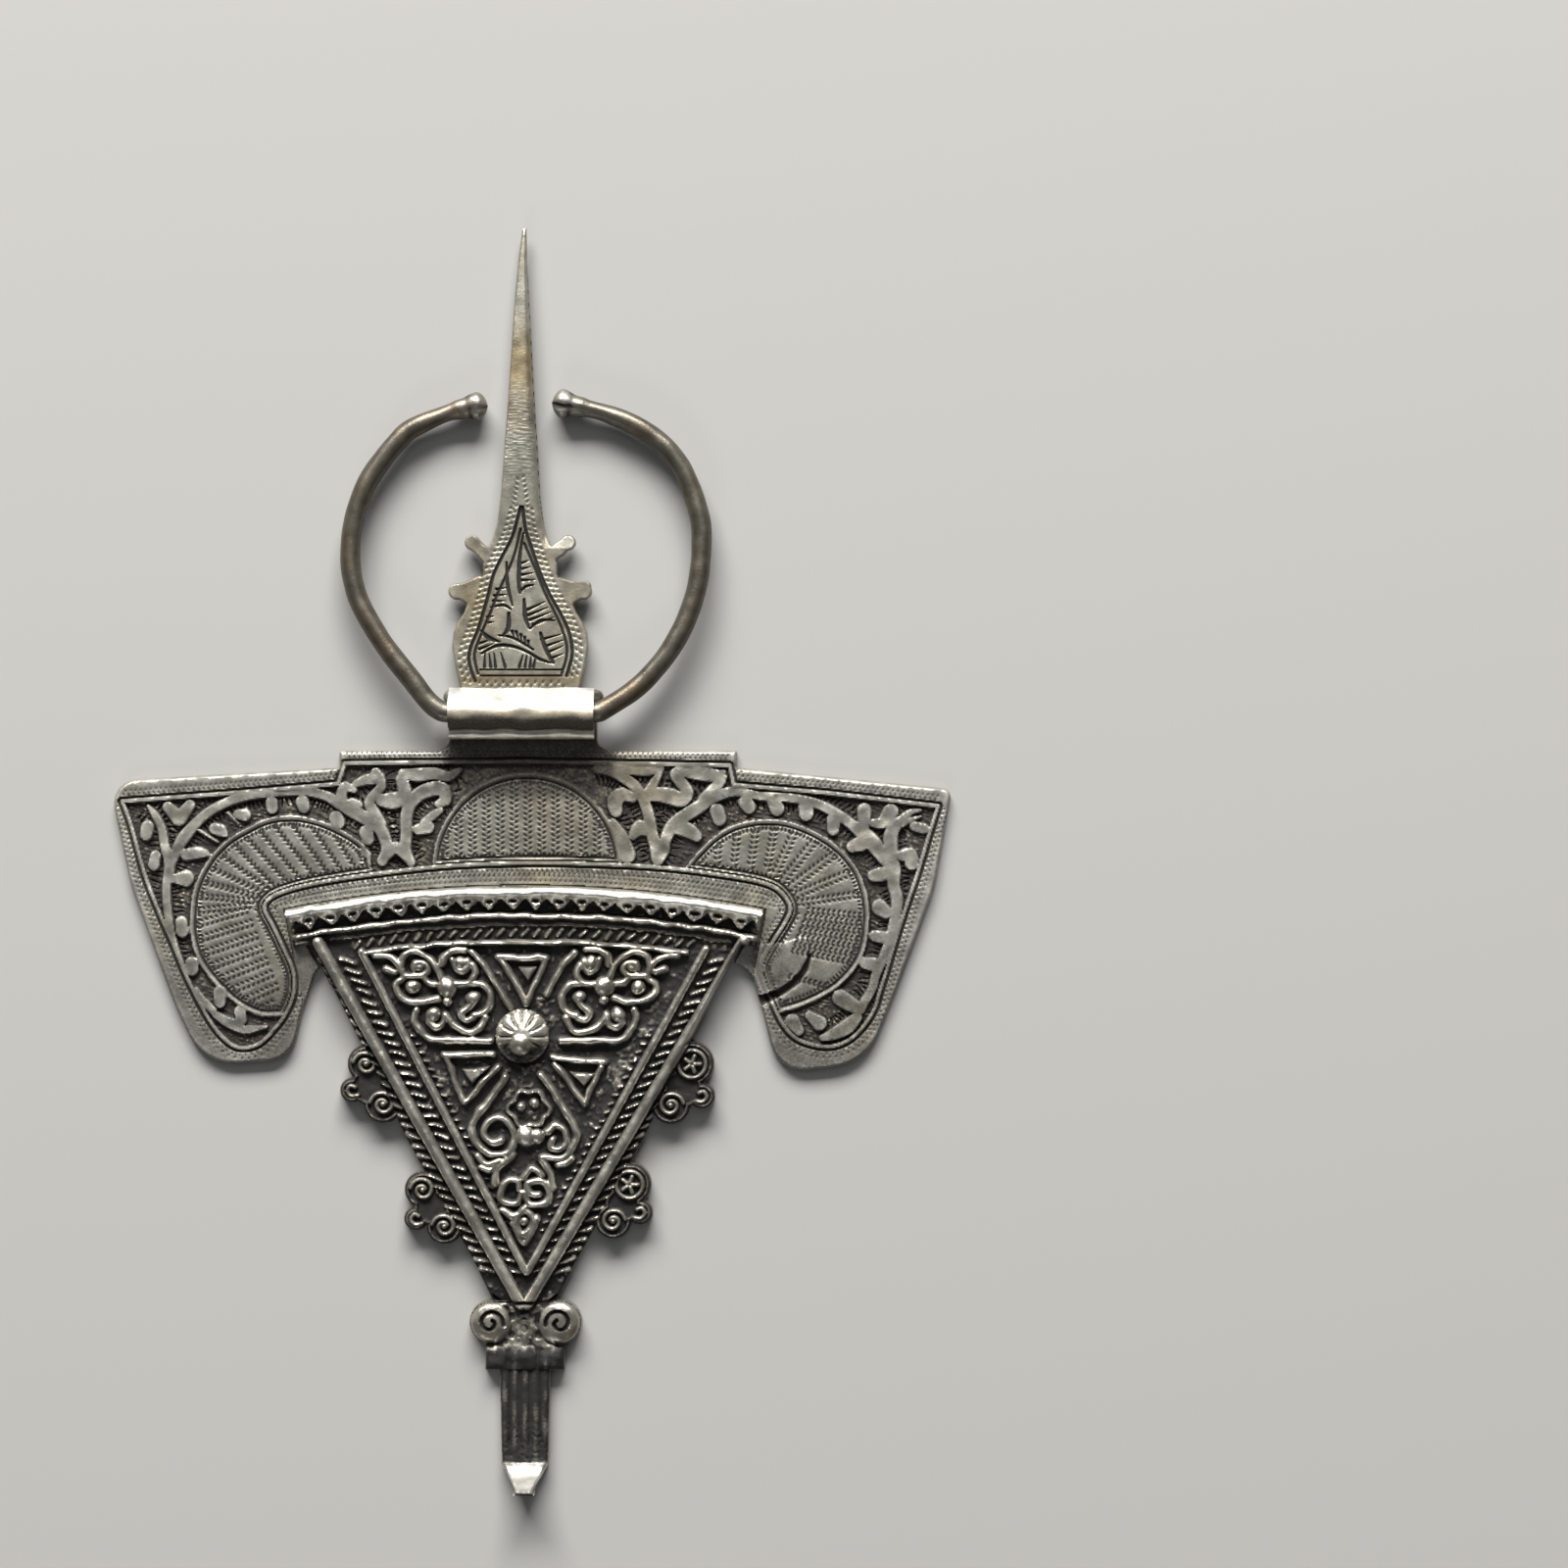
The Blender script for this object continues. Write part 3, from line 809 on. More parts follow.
def studded_beam(sheet, h, down, beam_end):
    """The arched beam's section: a bright roll, a row of lozenge studs with a pit between each two, and a
    bead below. The studs' lower edge runs zigzag, 2 |t - 1/2| along each."""
    x, y = sheet.xx, sheet.yy
    band = np.interp(down, [0, 1.5, 2.2, 4.3, 4.8, 5, 7.4, 8], [4.7, 6.2, 5.7, 4.6, 3.4, 3, 3, 2.3])
    band = np.where(down < ROLL_HALF, ROLL_Z + 1.5 * bead(down - ROLL_HALF, ROLL_HALF), band)
    band = np.maximum(band, 3 + 1.7 * bead(down - 5.6, 0.62))
    h = np.where((beam_end < 0) & (down < 7.6), np.maximum(band, h), h)
    h = np.where(np.abs(x) < 31, np.maximum(h, 2.4 + 1.9 * bead(down - 10.6, 0.6)), h)
    turn = np.degrees(np.arctan2(x, y - ARCH_MIDDLE)) / STUD_TURN
    zigzag = 2 * np.abs(turn - np.floor(turn) - 0.5)
    on_studs = (beam_end < 0) & (down > 1.9) & (down < 4.9)
    h += 0.55 * (0.5 - zigzag) * ramp(down, 1.9, 2.5) * (on_studs & (down < 4.3))
    zigzag = np.clip(zigzag + 0.12 * sheet.uneven(1.1, 26), 0, 1)
    cut = on_studs & (down > 2.6 + 2.1 * (1 - zigzag))
    h = np.where(cut, np.minimum(h, 3.5 + 0.25 * sheet.uneven(0.8, 27)), h)
    turn = np.radians(90 + (np.arange(-11, 12) + 0.5) * STUD_TURN)
    return h - sheet.dents(on_arch(PIT_DOWN, turn), turn - np.pi / 2, 0.95, 0.6, 0.9) * (down < 4.6)


def rope_marks():
    """Slanting strokes under the beam, between each two rods, from the outer rods to the edge, and a fine
    row inside the inner rods."""
    ropes = []
    for turn in np.radians(90 + np.arange(-14, 15) * ROPE_TURN):
        ropes.append([(*on_arch(8.2, turn - 0.0022), 0.5), (*on_arch(9.4, turn + 0.0026), 0.45)])
    rim = np.array(LEFT_EDGE)[::-1]
    for side, thick, thin in ((-1, RODS[0], RODS[2]), (1, RODS[1], RODS[3])):
        thick, thin = np.array(thick)[::-1], np.array(thin)[::-1]
        for at in np.arange(-47, -106, -ROPE_PITCH):
            outer, inner, out = (np.interp(at, line[:, 1], line[:, 0]) for line in (thick, thin, rim))
            mid = (outer + inner) / 2 + 0.1 * side
            reach = min(1.3, max(abs(outer - inner) / 2 - 1.0, 0.3))
            ropes.append([(mid + side * reach, at + 0.24 * reach, 0.52),
                          (mid - side * reach, at - 0.24 * reach, 0.45)])
            ropes.append([(side * (abs(out) - 0.35), at + 0.35, 0.5), (outer + side * 1.3, at - 0.35, 0.45)])
        for at in np.arange(-61, -99, -GRAIN_PITCH):
            inner = np.interp(at, thin[:, 1], thin[:, 0]) - side * 1.35
            ropes.append([(inner, at, 0.36), (inner - side * 0.8, at - 0.2, 0.3)])
    return ropes


def scroll_field(sheet, h, rough):
    """Wires, bars, balls, framed triangles and the lobed medallion as half-round beads on the ground; then
    everything is swayed sideways by smooth noise, as in a model built up by hand."""
    x, y = sheet.xx, sheet.yy
    corner = [np.array(w) for w in CORNER_WIRES]
    wires = corner + [w * [-1, 1] + [MIRROR_SHIFT, 0] for w in corner] + MIDDLE_WIRES
    wire = sheet.near([curve(w, 0.4) for w in wires], 1.0)
    h = np.maximum(h, CAST_GROUND + 0.75 * bell(np.maximum(wire - 0.3, 0), 0.7) + rough)
    ragged = 0.1 * sheet.uneven(1.2, 29)
    for line, half in ((wire, WIRE_HALF), (sheet.near(BARS, 1.0), BAR_HALF)):
        h = np.maximum(h, CAST_GROUND + WIRE_RISE * bead(line + ragged, half) ** 0.8)
    balls = CORNER_BALLS + [(MIRROR_SHIFT - bx, by, br) for bx, by, br in CORNER_BALLS] + MIDDLE_BALLS
    for bx, by, br in balls:
        h = np.maximum(h, CAST_GROUND + (1.3 + 0.7 * br) * bead(sheet.disc(bx, by), 1.2 * br) ** 0.8)
    for corners in FRAMED:
        h = np.maximum(h, CAST_GROUND + WIRE_RISE * step_up(sheet.signed(corners), 0.45))
    mx, my, rx, ry = MEDALLION
    oval = (np.hypot((x - mx) / rx, (y - my) / ry) - 1 - 0.1 * np.cos(6 * np.arctan2(y - my, x - mx))) * ry
    h = np.maximum(h, CAST_GROUND + 1.6 * bead(oval, 0.5))
    h = sheet.read(h, x + 0.24 * sheet.uneven(2.4, 51), y + 0.24 * sheet.uneven(2.4, 52))
    return h + 0.14 * sheet.uneven(2.0, 53)


def rosette(sheet):
    """Height of the rosette above the ground: twelve petals cut by |sin 6a| round a ball, worn flat in the
    lower part. Also where it stands and where it is worn flat."""
    cx, cy, radius = ROSETTE
    r, a = sheet.disc(cx, cy), np.arctan2(sheet.yy - cy, sheet.xx - cx)
    ball = sheet.disc(cx - 0.3, cy - 1.2)
    flat = ramp(sheet.yy, cy - 1, cy - 2.5) * (r < radius)
    lobed = np.abs(np.sin(6 * a))
    petals = 1.3 + 2.9 * bead(r, radius * (0.95 + 0.05 * lobed)) - 1.1 * (1 - lobed) ** 3 * ramp(r, 1.6, 2.8)
    petals -= flat * (0.7 + 0.6 * sheet.uneven(0.7, 28))
    return np.maximum(petals, 2.0 + 2.9 * bead(ball, 2.5)), r < radius, flat * (ball > 2.3)


def side_lobes(sheet, h, lobe, on_lobe):
    """The lobes as one swelling plate with a raised border; on them spirals with a ball, ringed stars on
    the largest, and hooks on the smallest."""
    scrolls = []
    for lx, ly, lr, turns in LOBES:
        if turns:
            scrolls.append(whirl(lx, ly, 0.66 * lr, turns, 90 - 80 * np.sign(turns)))
        elif lr > 4:
            scrolls.append(whirl(lx, ly, 0.62 * lr, 1, 0, 61, 0))
            rays = [np.array([np.cos(t), np.sin(t)]) for t in 2 * np.pi * np.arange(5) / 5]
            scrolls += [[0.5 * ray + (lx, ly), 1.6 * ray + (lx, ly)] for ray in rays]
        elif lr < 2.6:
            hook = np.array([(-1.1, -0.9), (0.2, -1), (0.9, -0.1), (0.3, 0.9), (-0.6, 0.6)])
            scrolls.append(hook * (np.sign(lx), 1) + (lx, ly))
    scroll = sheet.near([curve(w, 0.3) if len(w) > 2 else w for w in scrolls], 1.0)
    swell = CAST_GROUND + 0.4 + 0.9 * bead(lobe + 0.5, 0.5) + 0.12 * sheet.uneven(0.7, 31)
    swell = np.maximum(swell, CAST_GROUND + 0.5 + 1.0 * bead(scroll, 0.48))
    h = np.where(on_lobe, np.maximum(h, swell), h)
    for lx, ly, lr, turns in LOBES:
        if turns:
            h = np.maximum(h, CAST_GROUND + 1.7 * bead(sheet.disc(lx, ly), 0.2 * lr))
    return h


def end_scrolls(sheet, h, edge):
    """The two bottom scrolls, each a low bun with a spiral cut in, and the cuts that run down to them."""
    cuts = [[(6.4 * s, -110.2), (2.8 * s, -112.6), (2.1 * s, -116.4), (3.4 * s, -119)] for s in (-1, 1)]
    for (ex, ey, er), s in zip(END_SCROLLS, (-1, 1)):
        h = np.maximum(h, CAST_GROUND + 0.2 + 1.5 * bead(sheet.disc(ex, ey), er) ** 0.7)
        cuts.append(whirl(ex, ey, 0.62 * er, -1.15 * s, 90 + 100 * s))
    return h - 0.95 * bead(sheet.near(cuts, 0.6), 0.42) * (edge < -0.5)


def turned_up(run):
    """Rise of the tail's end along its run: the bend's arc, R - root of R^2 - run^2, then a slope."""
    arc = BEND_R - np.sqrt(BEND_R**2 - np.clip(run, 0, BEND_RUN) ** 2)
    return np.where(run < BEND_RUN, arc, BEND_RISE + (run - BEND_RUN) * HOOK_SLOPE)


def cast_triangle():
    """Heights of the casting's front and back over its plan, and its grime, stain and wear."""
    sheet = Sheet((-BEAM_HALF - 1, TAIL_END - 0.5), (BEAM_HALF + 1, -31.5), CAST_CELL)
    x, y = sheet.xx, sheet.yy
    edge, down, beam_end, body, lobe, web, collar, tab = cast_plan(sheet)
    rough = 0.2 * sheet.uneven(0.6, 11) + 0.16 * sheet.uneven(1.6, 12)
    h = studded_beam(sheet, CAST_GROUND + rough, down, beam_end)
    rope = sheet.near(rope_marks(), 0.5)
    h = np.maximum(h, CAST_GROUND + 1.35 * np.sqrt(np.clip(-rope / 0.5, 0, 1)))
    h = scroll_field(sheet, h, rough)
    flower, on_flower, worn_flat = rosette(sheet)
    h = np.where(on_flower, np.maximum(h, CAST_GROUND + flower), h)
    on_lobe = (lobe < 0) & (body > -0.6)
    h = end_scrolls(sheet, side_lobes(sheet, h, lobe, on_lobe), edge)
    # collar, web and rods
    lumps = np.abs(np.cos((x + 0.4) * np.pi / 5.6)) ** 0.5 + 0.3 * sheet.uneven(1.6, 22)
    h = np.maximum(h, (2.3 + 1.3 * lumps * bead(y - COLLAR_Y, 2.6)) * (collar < 0))
    h = np.maximum(h, (CAST_GROUND + 0.5 + 0.4 * sheet.uneven(1.2, 23)) * (web < 0))
    for (ax, ay, half), (bx, by, _) in RODS:
        rod = sheet.near([[(ax, ay), (bx, by)]], 2.0)
        top = ROD_TOP if half > 1 else THIN_ROD_TOP
        h = np.where(rod < half, np.maximum(h, top - half + half * bead(rod, half)), h)
    # tab with ribs, pitted towards its end, and the part that turns up to the front
    run = BEND_Y - y
    on_tab = tab < 0.3
    rise = turned_up(run) * (run > 0)
    rib = np.abs(np.sin(np.pi * RIBS * (x / (2 * TAIL_HALF) + 0.5)))
    ribbed = TAIL_T - 0.42 * (1 - rib**0.6) * ramp(run, 0, -3)
    h = np.where(on_tab & (collar > 0), ribbed + rise, h)
    h = np.where(on_tab & (run > 0.6), TAIL_T + rise + 0.2 * bead(x, TAIL_HALF), h)
    pitted = ramp(run, -9, -4) * (run < 0) * (tab < 0)
    h -= 0.22 * np.clip(sheet.uneven(0.5, 21), 0, 1) * pitted
    # small casting flaws and a worn rim
    h += 0.06 * sheet.uneven(1.3, 13) + 0.03 * sheet.uneven(0.45, 14)
    rim = np.clip(-edge / 0.8, 0, 1)
    h = np.where(down > 1.6, np.minimum(h, 1.2 + (h - 1.2) * np.sqrt(rim) + 0.6 * (1 - rim)), h)
    under = np.where((down < LAP) & (down > -1), LAP_Z, 0.0)
    under = np.where(on_tab, 0.9 * rise, under)
    # black ground and lobes, grimy tail with a clean facet, rubbed roll, rosette and facet
    low = ramp(h, CAST_GROUND + 0.8, CAST_GROUND + 0.2) * (0.9 + 0.12 * sheet.uneven(0.9, 15))
    grime = np.maximum(hollows(h, sheet.cell), low * (tab > 0.3)) * np.where(on_flower, 0.55, 1)
    grime = np.maximum(grime, 0.65 * worn_flat)
    tail = ramp(y, -118, -121) * ramp(run, 1.5, 0)
    grime = np.maximum(grime, tail * (0.72 + 0.24 * (1 - rib) + 0.18 * wobble(x * 3, y, 3.0, 24)))
    on_facet = on_tab & (run > 0.75)
    grime = np.where(on_facet, 0.1 + 0.25 * bell(run - 4.6, 0.5), grime)
    black = 0.95 - 0.58 * np.clip(h - CAST_GROUND - 0.5, 0, 1)
    grime = np.where(on_lobe, np.maximum(grime, black), grime)
    stain = bell(x - 9.2, 1.5) * bell(y + 119, 3) + bell(x - 12, 1.6) * bell(y + 104.5, 4)
    on_roll = (beam_end < 0) & (down < 1.7)
    worn = np.maximum.reduce([0.34 * peaks(h, sheet.cell) + 0.4 * on_roll,
                              0.45 * (on_flower & (y > ROSETTE[1] - 0.5)), 0.8 * (on_facet & (run < 5.4))])
    return sheet, edge, h, under, (np.clip(grime, 0, 1), stain, np.clip(worn, 0, 1) * (lobe > 0))


sheet, edge, height, under, marks = cast_triangle()
casting = plate("casting", sheet, edge, height, under, marks, 196000)
casting.data.materials.append(aged_silver("cast silver", (0.325, 0.305, 0.262), (0.01, 0.009, 0.008), 0.34,
                                          tint=0.4, stain=(0.27, 0.22, 0.13), metal_part=0.85))
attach(casting, "brooch")
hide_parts("cast_plate")

# Pin. It is forged from one bar: a flat onion-shaped foot with two pairs of curls, and a long shaft that
# thins to a point. The foot is engraved with a vine in a drop-shaped frame and lies on the neck.
PIN_CELL = 0.13
FOOT_BACK = 1.55
FOOT_TOP = 3.3
PIN_TIP = 91.58
SHAFT_START = 30
DROP_PITCH = 1.15
BASE_PITCH = 1.5
# Shaft: y, left edge, right edge and thickness
SHAFT = [
    (30, -5.4, 3.9, 1.75), (35.5, -5.3, 3.6, 2.1), (41, -4.6, 2.9, 2.5), (50.3, -3.9, 2.4, 2.9),
    (59.6, -3.2, 1.8, 2.9), (68.8, -2.6, 1.3, 2.4), (78, -2, 0.8, 1.9), (86, -1.2, 0.35, 1.3),
    (90.4, -0.65, 0.3, 0.9), (91.6, -0.45, 0.25, 0.5)
]
# Engraved drop: its double line, left and right, from the point down
DROP = [
    [(-0.6, 38.8), (-1.1, 36.7), (-2.2, 33.1), (-4, 29.6), (-5.7, 26.1), (-6.6, 22.6), (-7.7, 18.7),
     (-8.7, 15.5), (-10, 12.4), (-10.4, 10), (-9.9, 7.7), (-9.2, 5.9)],
    [(-0.7, 34.7), (-2, 29.6), (-3.6, 25.7), (-5.2, 22.2), (-6.5, 18.7), (-7.9, 15.5), (-9.3, 11.8),
     (-9.4, 9.7), (-8.8, 7.3)],
    [(-0.5, 38.8), (0.1, 34.3), (1.1, 31.2), (2.7, 26.5), (4.6, 22.2), (6.6, 18.7), (8.1, 15.5), (8.8, 12.4),
     (8.7, 10), (7.8, 6.9)],
    [(-0.1, 32), (1.9, 27.3), (3.8, 22.6), (5.6, 19), (7, 15.9), (7.9, 12.8), (7.9, 10.4), (7, 7.3)]
]
# How far the drop's outer lines are cut outside their points, and the lines across the foot below them
DROP_SHIFT = 0.14
BASE_LINES = [[(-8.4, 8.1), (7.1, 8.1)], [(-8.2, 6.95), (7, 6.95)]]
# Curls beside the foot: x, y and half width from the tip inwards
HORNS = [
    [(-10.2, 31.9, 1.05), (-8.6, 30.9, 1.15), (-6.6, 29, 1.5)],
    [(8.3, 32.5, 1), (6.6, 31.4, 1.1), (4.6, 29.2, 1.5)],
    [(-13.3, 23.2, 1.05), (-11, 23.6, 1.2), (-8.5, 24.3, 1.6)],
    [(11.5, 23.9, 1.05), (9.2, 23.6, 1.3), (6.6, 23.9, 1.7)]
]
# Contours of the leaves in the drop: x, y and half width of the cut
CONTOURS = [
    [(-0.2, 33.9, 0.1), (-0.9, 29.6, 0.25), (-1.1, 25, 0.3), (-0.9, 22.6, 0.2)],
    [(-1, 22.6, 0.1), (0.2, 23.8, 0.2), (1.6, 24.1, 0.1)],
    [(-3.4, 28.4, 0.1), (-3.2, 24, 0.25), (-2.3, 20.2, 0.1)],
    [(-0.1, 21.4, 0.15), (0.1, 18.3, 0.35), (0.8, 16, 0.15)],
    [(1, 15.8, 0.1), (3, 17.4, 0.2), (5.6, 17.4, 0.1)],
    [(-6.4, 19.9, 0.1), (-4, 20.3, 0.2), (-2.6, 19.5, 0.1)],
    [(-3, 18.8, 0.2), (-3.1, 15.9, 0.35), (-4.1, 14.6, 0.1)],
    [(-8.3, 15.5, 0.1), (-6.8, 14.1, 0.4), (-4.7, 13.4, 0.1)],
    [(-4.9, 14.6, 0.1), (-2.2, 14.1, 0.2), (1.6, 11.9, 0.15)],
    [(-8.2, 11.1, 0.1), (-5.3, 12.6, 0.25), (-2.2, 12.5, 0.25), (0.6, 11.4, 0.2), (2.8, 10.1, 0.25),
     (4.9, 9.4, 0.1)],
    [(3, 15, 0.2), (3.6, 13, 0.3), (4.4, 11.1, 0.3), (5.4, 9.4, 0.2)]
]
# Hatching between the leaves: wedge cuts, each from its wide start to its thin end
HATCHES = [
    (-0.7, 28.2, 0.7, 28.7), (-0.8, 27.1, 1.1, 27.5), (-0.7, 26, 1.6, 26.4), (-0.6, 25, 2, 25.1),
    (-5.3, 23.3, -3.5, 23.6), (-5.7, 22.1, -3.3, 22.3), (-5.9, 21.1, -3.6, 21.1), (-7, 18, -5.9, 18.2),
    (-7, 17, -5.9, 17.1), (0.5, 19.4, 3.8, 20.9), (0.7, 18.4, 4.5, 19.9), (1, 17.5, 5, 19),
    (1.6, 16.6, 5.5, 18), (-2.4, 15.4, -2, 14.2), (-1.6, 15.3, -1.2, 13.9), (-0.7, 14.7, -0.6, 13.4),
    (0, 14.2, 0.1, 13), (0.7, 13.5, 0.8, 12.6), (3.2, 13.8, 6.9, 14.8), (4.1, 12.6, 7.3, 13.7),
    (4.4, 11.4, 7.3, 12.6), (4.8, 10.2, 7.3, 11.1), (-8.7, 13, -6.3, 13.8), (-8.5, 12, -6, 13),
    (-7.6, 8.6, -7.5, 11.2), (-6.4, 8.6, -6.7, 11.1), (-5.5, 8.6, -5.8, 11.3), (-3.7, 8.6, -4.5, 11.3),
    (-1, 8.6, -0.3, 10.9), (0.1, 8.6, 0.4, 10.8), (1, 8.6, 1.2, 10.5), (1.7, 8.6, 2, 10.3)
]


def engraved(sheet, drop):
    """Share of the full depth that the graver took away: half-round along the drop and the base lines, and
    flat-bottomed in the leaves' contours and the wedges between them."""
    cut = bead(sheet.near([drop[0] - (DROP_SHIFT, 0), drop[2] + (DROP_SHIFT, 0)], 1.0), 0.33)
    cut = np.maximum(cut, 0.85 * bead(sheet.near([drop[1], drop[3]], 1.0), 0.28))
    cut = np.maximum(cut, 0.8 * bead(sheet.near(BASE_LINES, 1.0), 0.24))
    cut = np.maximum(cut, 0.9 * step_up(sheet.near([curve(c, 0.4) for c in CONTOURS], 1.0) - 0.15, 0.18))
    wedges = [[(ax, ay, 0.26), (bx, by, 0.04)] for ax, ay, bx, by in HATCHES]
    return np.maximum(cut, 0.85 * step_up(sheet.near(wedges, 1.0) - 0.12, 0.18))


def foot_punches(left, right):
    """Two rows of marks outside the drop, two files up the shaft and two rows under the base lines."""
    punches = Punches()
    for path, s in ((left, -1), (right, 1)):
        for aside, start in ((0.95, 0), (1.85, 0.5)):
            punches.along(path, DROP_PITCH, s * aside, start, 0.8 * s)
    up = np.arange(38.6, 44.5, 0.95)
    for s in (-1, 1):
        punches.row(-0.7 + s * np.interp(up, [38, 44.5], [1.5, 0.55]), up + 0.25 * s, 0.9 * s)
    for y, start in ((5.75, -8.5), (5.0, -7.75)):
        punches.row(np.arange(start, start + 16.5, BASE_PITCH), y, 1.2)
    return punches


def forged_pin():
    """Heights of the pin's front and back over its plan, and how grimy and stained each place is."""
    outline = cad_outline("pin", FOOT_BACK)
    sheet = Sheet(outline.min(0) - 0.6, (outline[:, 0].max() + 0.6, PIN_TIP + 0.6), PIN_CELL)
    x, y = sheet.xx, sheet.yy
    foot = np.minimum(sheet.signed(outline), sheet.near(HORNS))
    table = np.array(SHAFT)
    left, right, thick = (np.interp(y, table[:, 0], table[:, k]) for k in (1, 2, 3))
    shaft = np.maximum.reduce([left - x, x - right, SHAFT_START - y, y - PIN_TIP])
    edge = np.minimum(foot, shaft)
    # flat foot; the shaft is flat too, with its right side rounded off and its left edge eased
    across = np.clip((x - left) / (right - left) * 2 - 1, -1, 1)
    rounded = np.where(across > 0.25, bead(across - 0.25, 0.75), 1)
    crown = FOOT_BACK + 0.15 + thick * (0.35 + 0.65 * rounded * (1 - 0.12 * np.clip(-across, 0, 1) ** 3))
    blend = ramp(y, 31, 36)
    h = FOOT_TOP * (1 - blend) + crown * blend
    drop = [curve(run, 0.4) for run in DROP]
    cut = engraved(sheet, drop)
    h -= 0.42 * cut
    marks = foot_punches(drop[0], drop[2]).struck(sheet, 0.6, 0.38, 0.14) * (edge < -0.4)
    h -= marks
    # file marks across the shaft, and the eased rim
    scratch = wobble(x * 0.25, y, 0.22, 33) * ramp(y, 42, 47) * ramp(y, 64, 56)
    h += 0.05 * scratch + 0.03 * sheet.uneven(1.6, 34)
    soft = np.where(y > 36, 0.35, 0.3)
    h = np.minimum(h, FOOT_BACK + 0.55 + (h - FOOT_BACK - 0.55) * np.sqrt(np.clip(-edge / soft, 0, 1)))
    under = np.where(y > 35.5, FOOT_BACK + 0.15, FOOT_BACK)
    stain = 0.9 * bell(y - 66, 7) + 0.7 * bell(x + 9, 4) * bell(y - 20, 9) + 0.8 * bell(y - 6.3, 1.6)
    grime = np.maximum.reduce([1.5 * hollows(h, sheet.cell) - 0.3, 5 * marks, 1.6 * cut,
                               np.clip(1 - np.abs(y - 42) / 9, 0, 0.4)])
    return sheet, edge, h, under, (np.clip(grime, 0, 1), stain)


sheet, edge, height, under, marks = forged_pin()
pin = plate("pin_shaft", sheet, edge, height, under, marks, 150000)
pin.data.materials.append(aged_silver("forged silver", (0.37, 0.355, 0.3), (0.012, 0.01, 0.008), 0.42,
                                      tint=0.6, stain=(0.275, 0.225, 0.135), stain_scale=45.0, worn=0.6))
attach(pin, "brooch")
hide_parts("pin")

# Sleeve. A strip 0.8 mm thick, folded over the ring's straight stretch: a polished slope runs up over the
# pin's foot, the roll holds the wire, and below a hollow groove a ridge carries the rivets.
AXIS_Z = 5.45
SLEEVE_LEFT = -14.25
SLEEVE_RIGHT = 13.15
STRIP_T = 0.8
BORE_R = 2.15
ROLL_R = BORE_R + STRIP_T
LAND_Z = 3.35
LAND_Y = 4.6
RIDGE_Y = -3.6
RIDGE_R = 1.45


def arc_points(y, z, radius, first, last, steps):
    """Points on a circle round (y, z), evenly from the first angle to the last."""
    a = np.linspace(first, last, steps)
    return np.stack([y + radius * np.cos(a), z + radius * np.sin(a)], axis=1)


def tube_faces(rows, sides):
    """Quads between the neighbouring rings of a tube, and a cap at each end."""
    i, k = np.meshgrid(np.arange(rows - 1), np.arange(sides), indexing="ij")
    a, b = i * sides + k, i * sides + (k + 1) % sides
    faces = np.stack([a, b, b + sides, a + sides], axis=2).reshape(-1, 4).tolist()
    return faces + [list(range(sides))[::-1], list((rows - 1) * sides + np.arange(sides))]


def folded_sleeve(rows=120):
    """The strip's closed section, carried along the ring's axis; each outer point is pushed in and out by a
    smooth unevenness. The section runs over the slope, roll, groove and ridge, then back inside."""
    fall = LAND_Z - AXIS_Z
    lean = np.arctan2(fall, LAND_Y) + np.arccos(ROLL_R / np.hypot(LAND_Y, fall))
    outer = np.vstack([(LAND_Y, LAND_Z), arc_points(0, AXIS_Z, ROLL_R, lean, np.radians(196), 26),
                       (RIDGE_Y + 0.95, LAND_Z + 1.22),
                       arc_points(RIDGE_Y, LAND_Z, RIDGE_R, np.radians(62), np.pi, 12)])
    inner = np.vstack([(-BORE_R, LAND_Z), (-BORE_R, AXIS_Z), arc_points(0, AXIS_Z, BORE_R, np.pi, lean, 20),
                       (LAND_Y - STRIP_T * 1.3, LAND_Z)])
    section = np.vstack([outer, inner])
    shown = np.arange(len(section)) < len(outer)
    x = np.linspace(SLEEVE_LEFT, SLEEVE_RIGHT, rows)[:, None] + 0 * section[:, 0]
    y, z = 0 * x + section[:, 0], 0 * x + section[:, 1]
    away = np.hypot(y, z - AXIS_Z)
    push = 1 + 0.24 * wobble(x, y * 1.2 + z, 3.6, 41) / away * (shown & (z > LAND_Z + 0.3))
    y, z = y * push, AXIS_Z + (z - AXIS_Z) * push
    y[:, :2] += 0.175 * wobble(x, 0 * x, 4.0, 42)[:, :2]
    # dark behind the roll, in the groove and in a torn place; warm roll and ridge, the ridge rubbed
    sy, sz = section.T
    on_roll = shown & (sz > LAND_Z + 1.55)
    on_ridge = shown & (sz <= LAND_Z + 1.55) & (sz > LAND_Z + 0.4) & (sy < RIDGE_Y + 0.9)
    turned = np.clip((0.9 - sy + 0.45 * wobble(x, 0 * x, 3.0, 44)) / 2.2, 0, 1)
    low = np.where(on_roll, 0.9 * turned, 0.85 * (np.abs(sy + 2.75) < 0.4))
    torn = bell(x + 11.8, 1.4) * bell(y - 1.1 - 0.15 * (x + 11.8), 0.25)
    low = np.where(shown, np.maximum(low, 0.8 * torn * on_roll), 0.6)
    warm = 0.7 * (on_ridge | (on_roll & (sy < 0.6))) + 0 * x
    rubbed = 0.6 * on_ridge * (0.8 + 0.2 * wobble(x, 0 * x, 2.0, 45))
    points = np.stack([x, y, z], axis=2).reshape(-1, 3)
    return points, tube_faces(*x.shape), [low.ravel(), warm.ravel(), rubbed.ravel()]


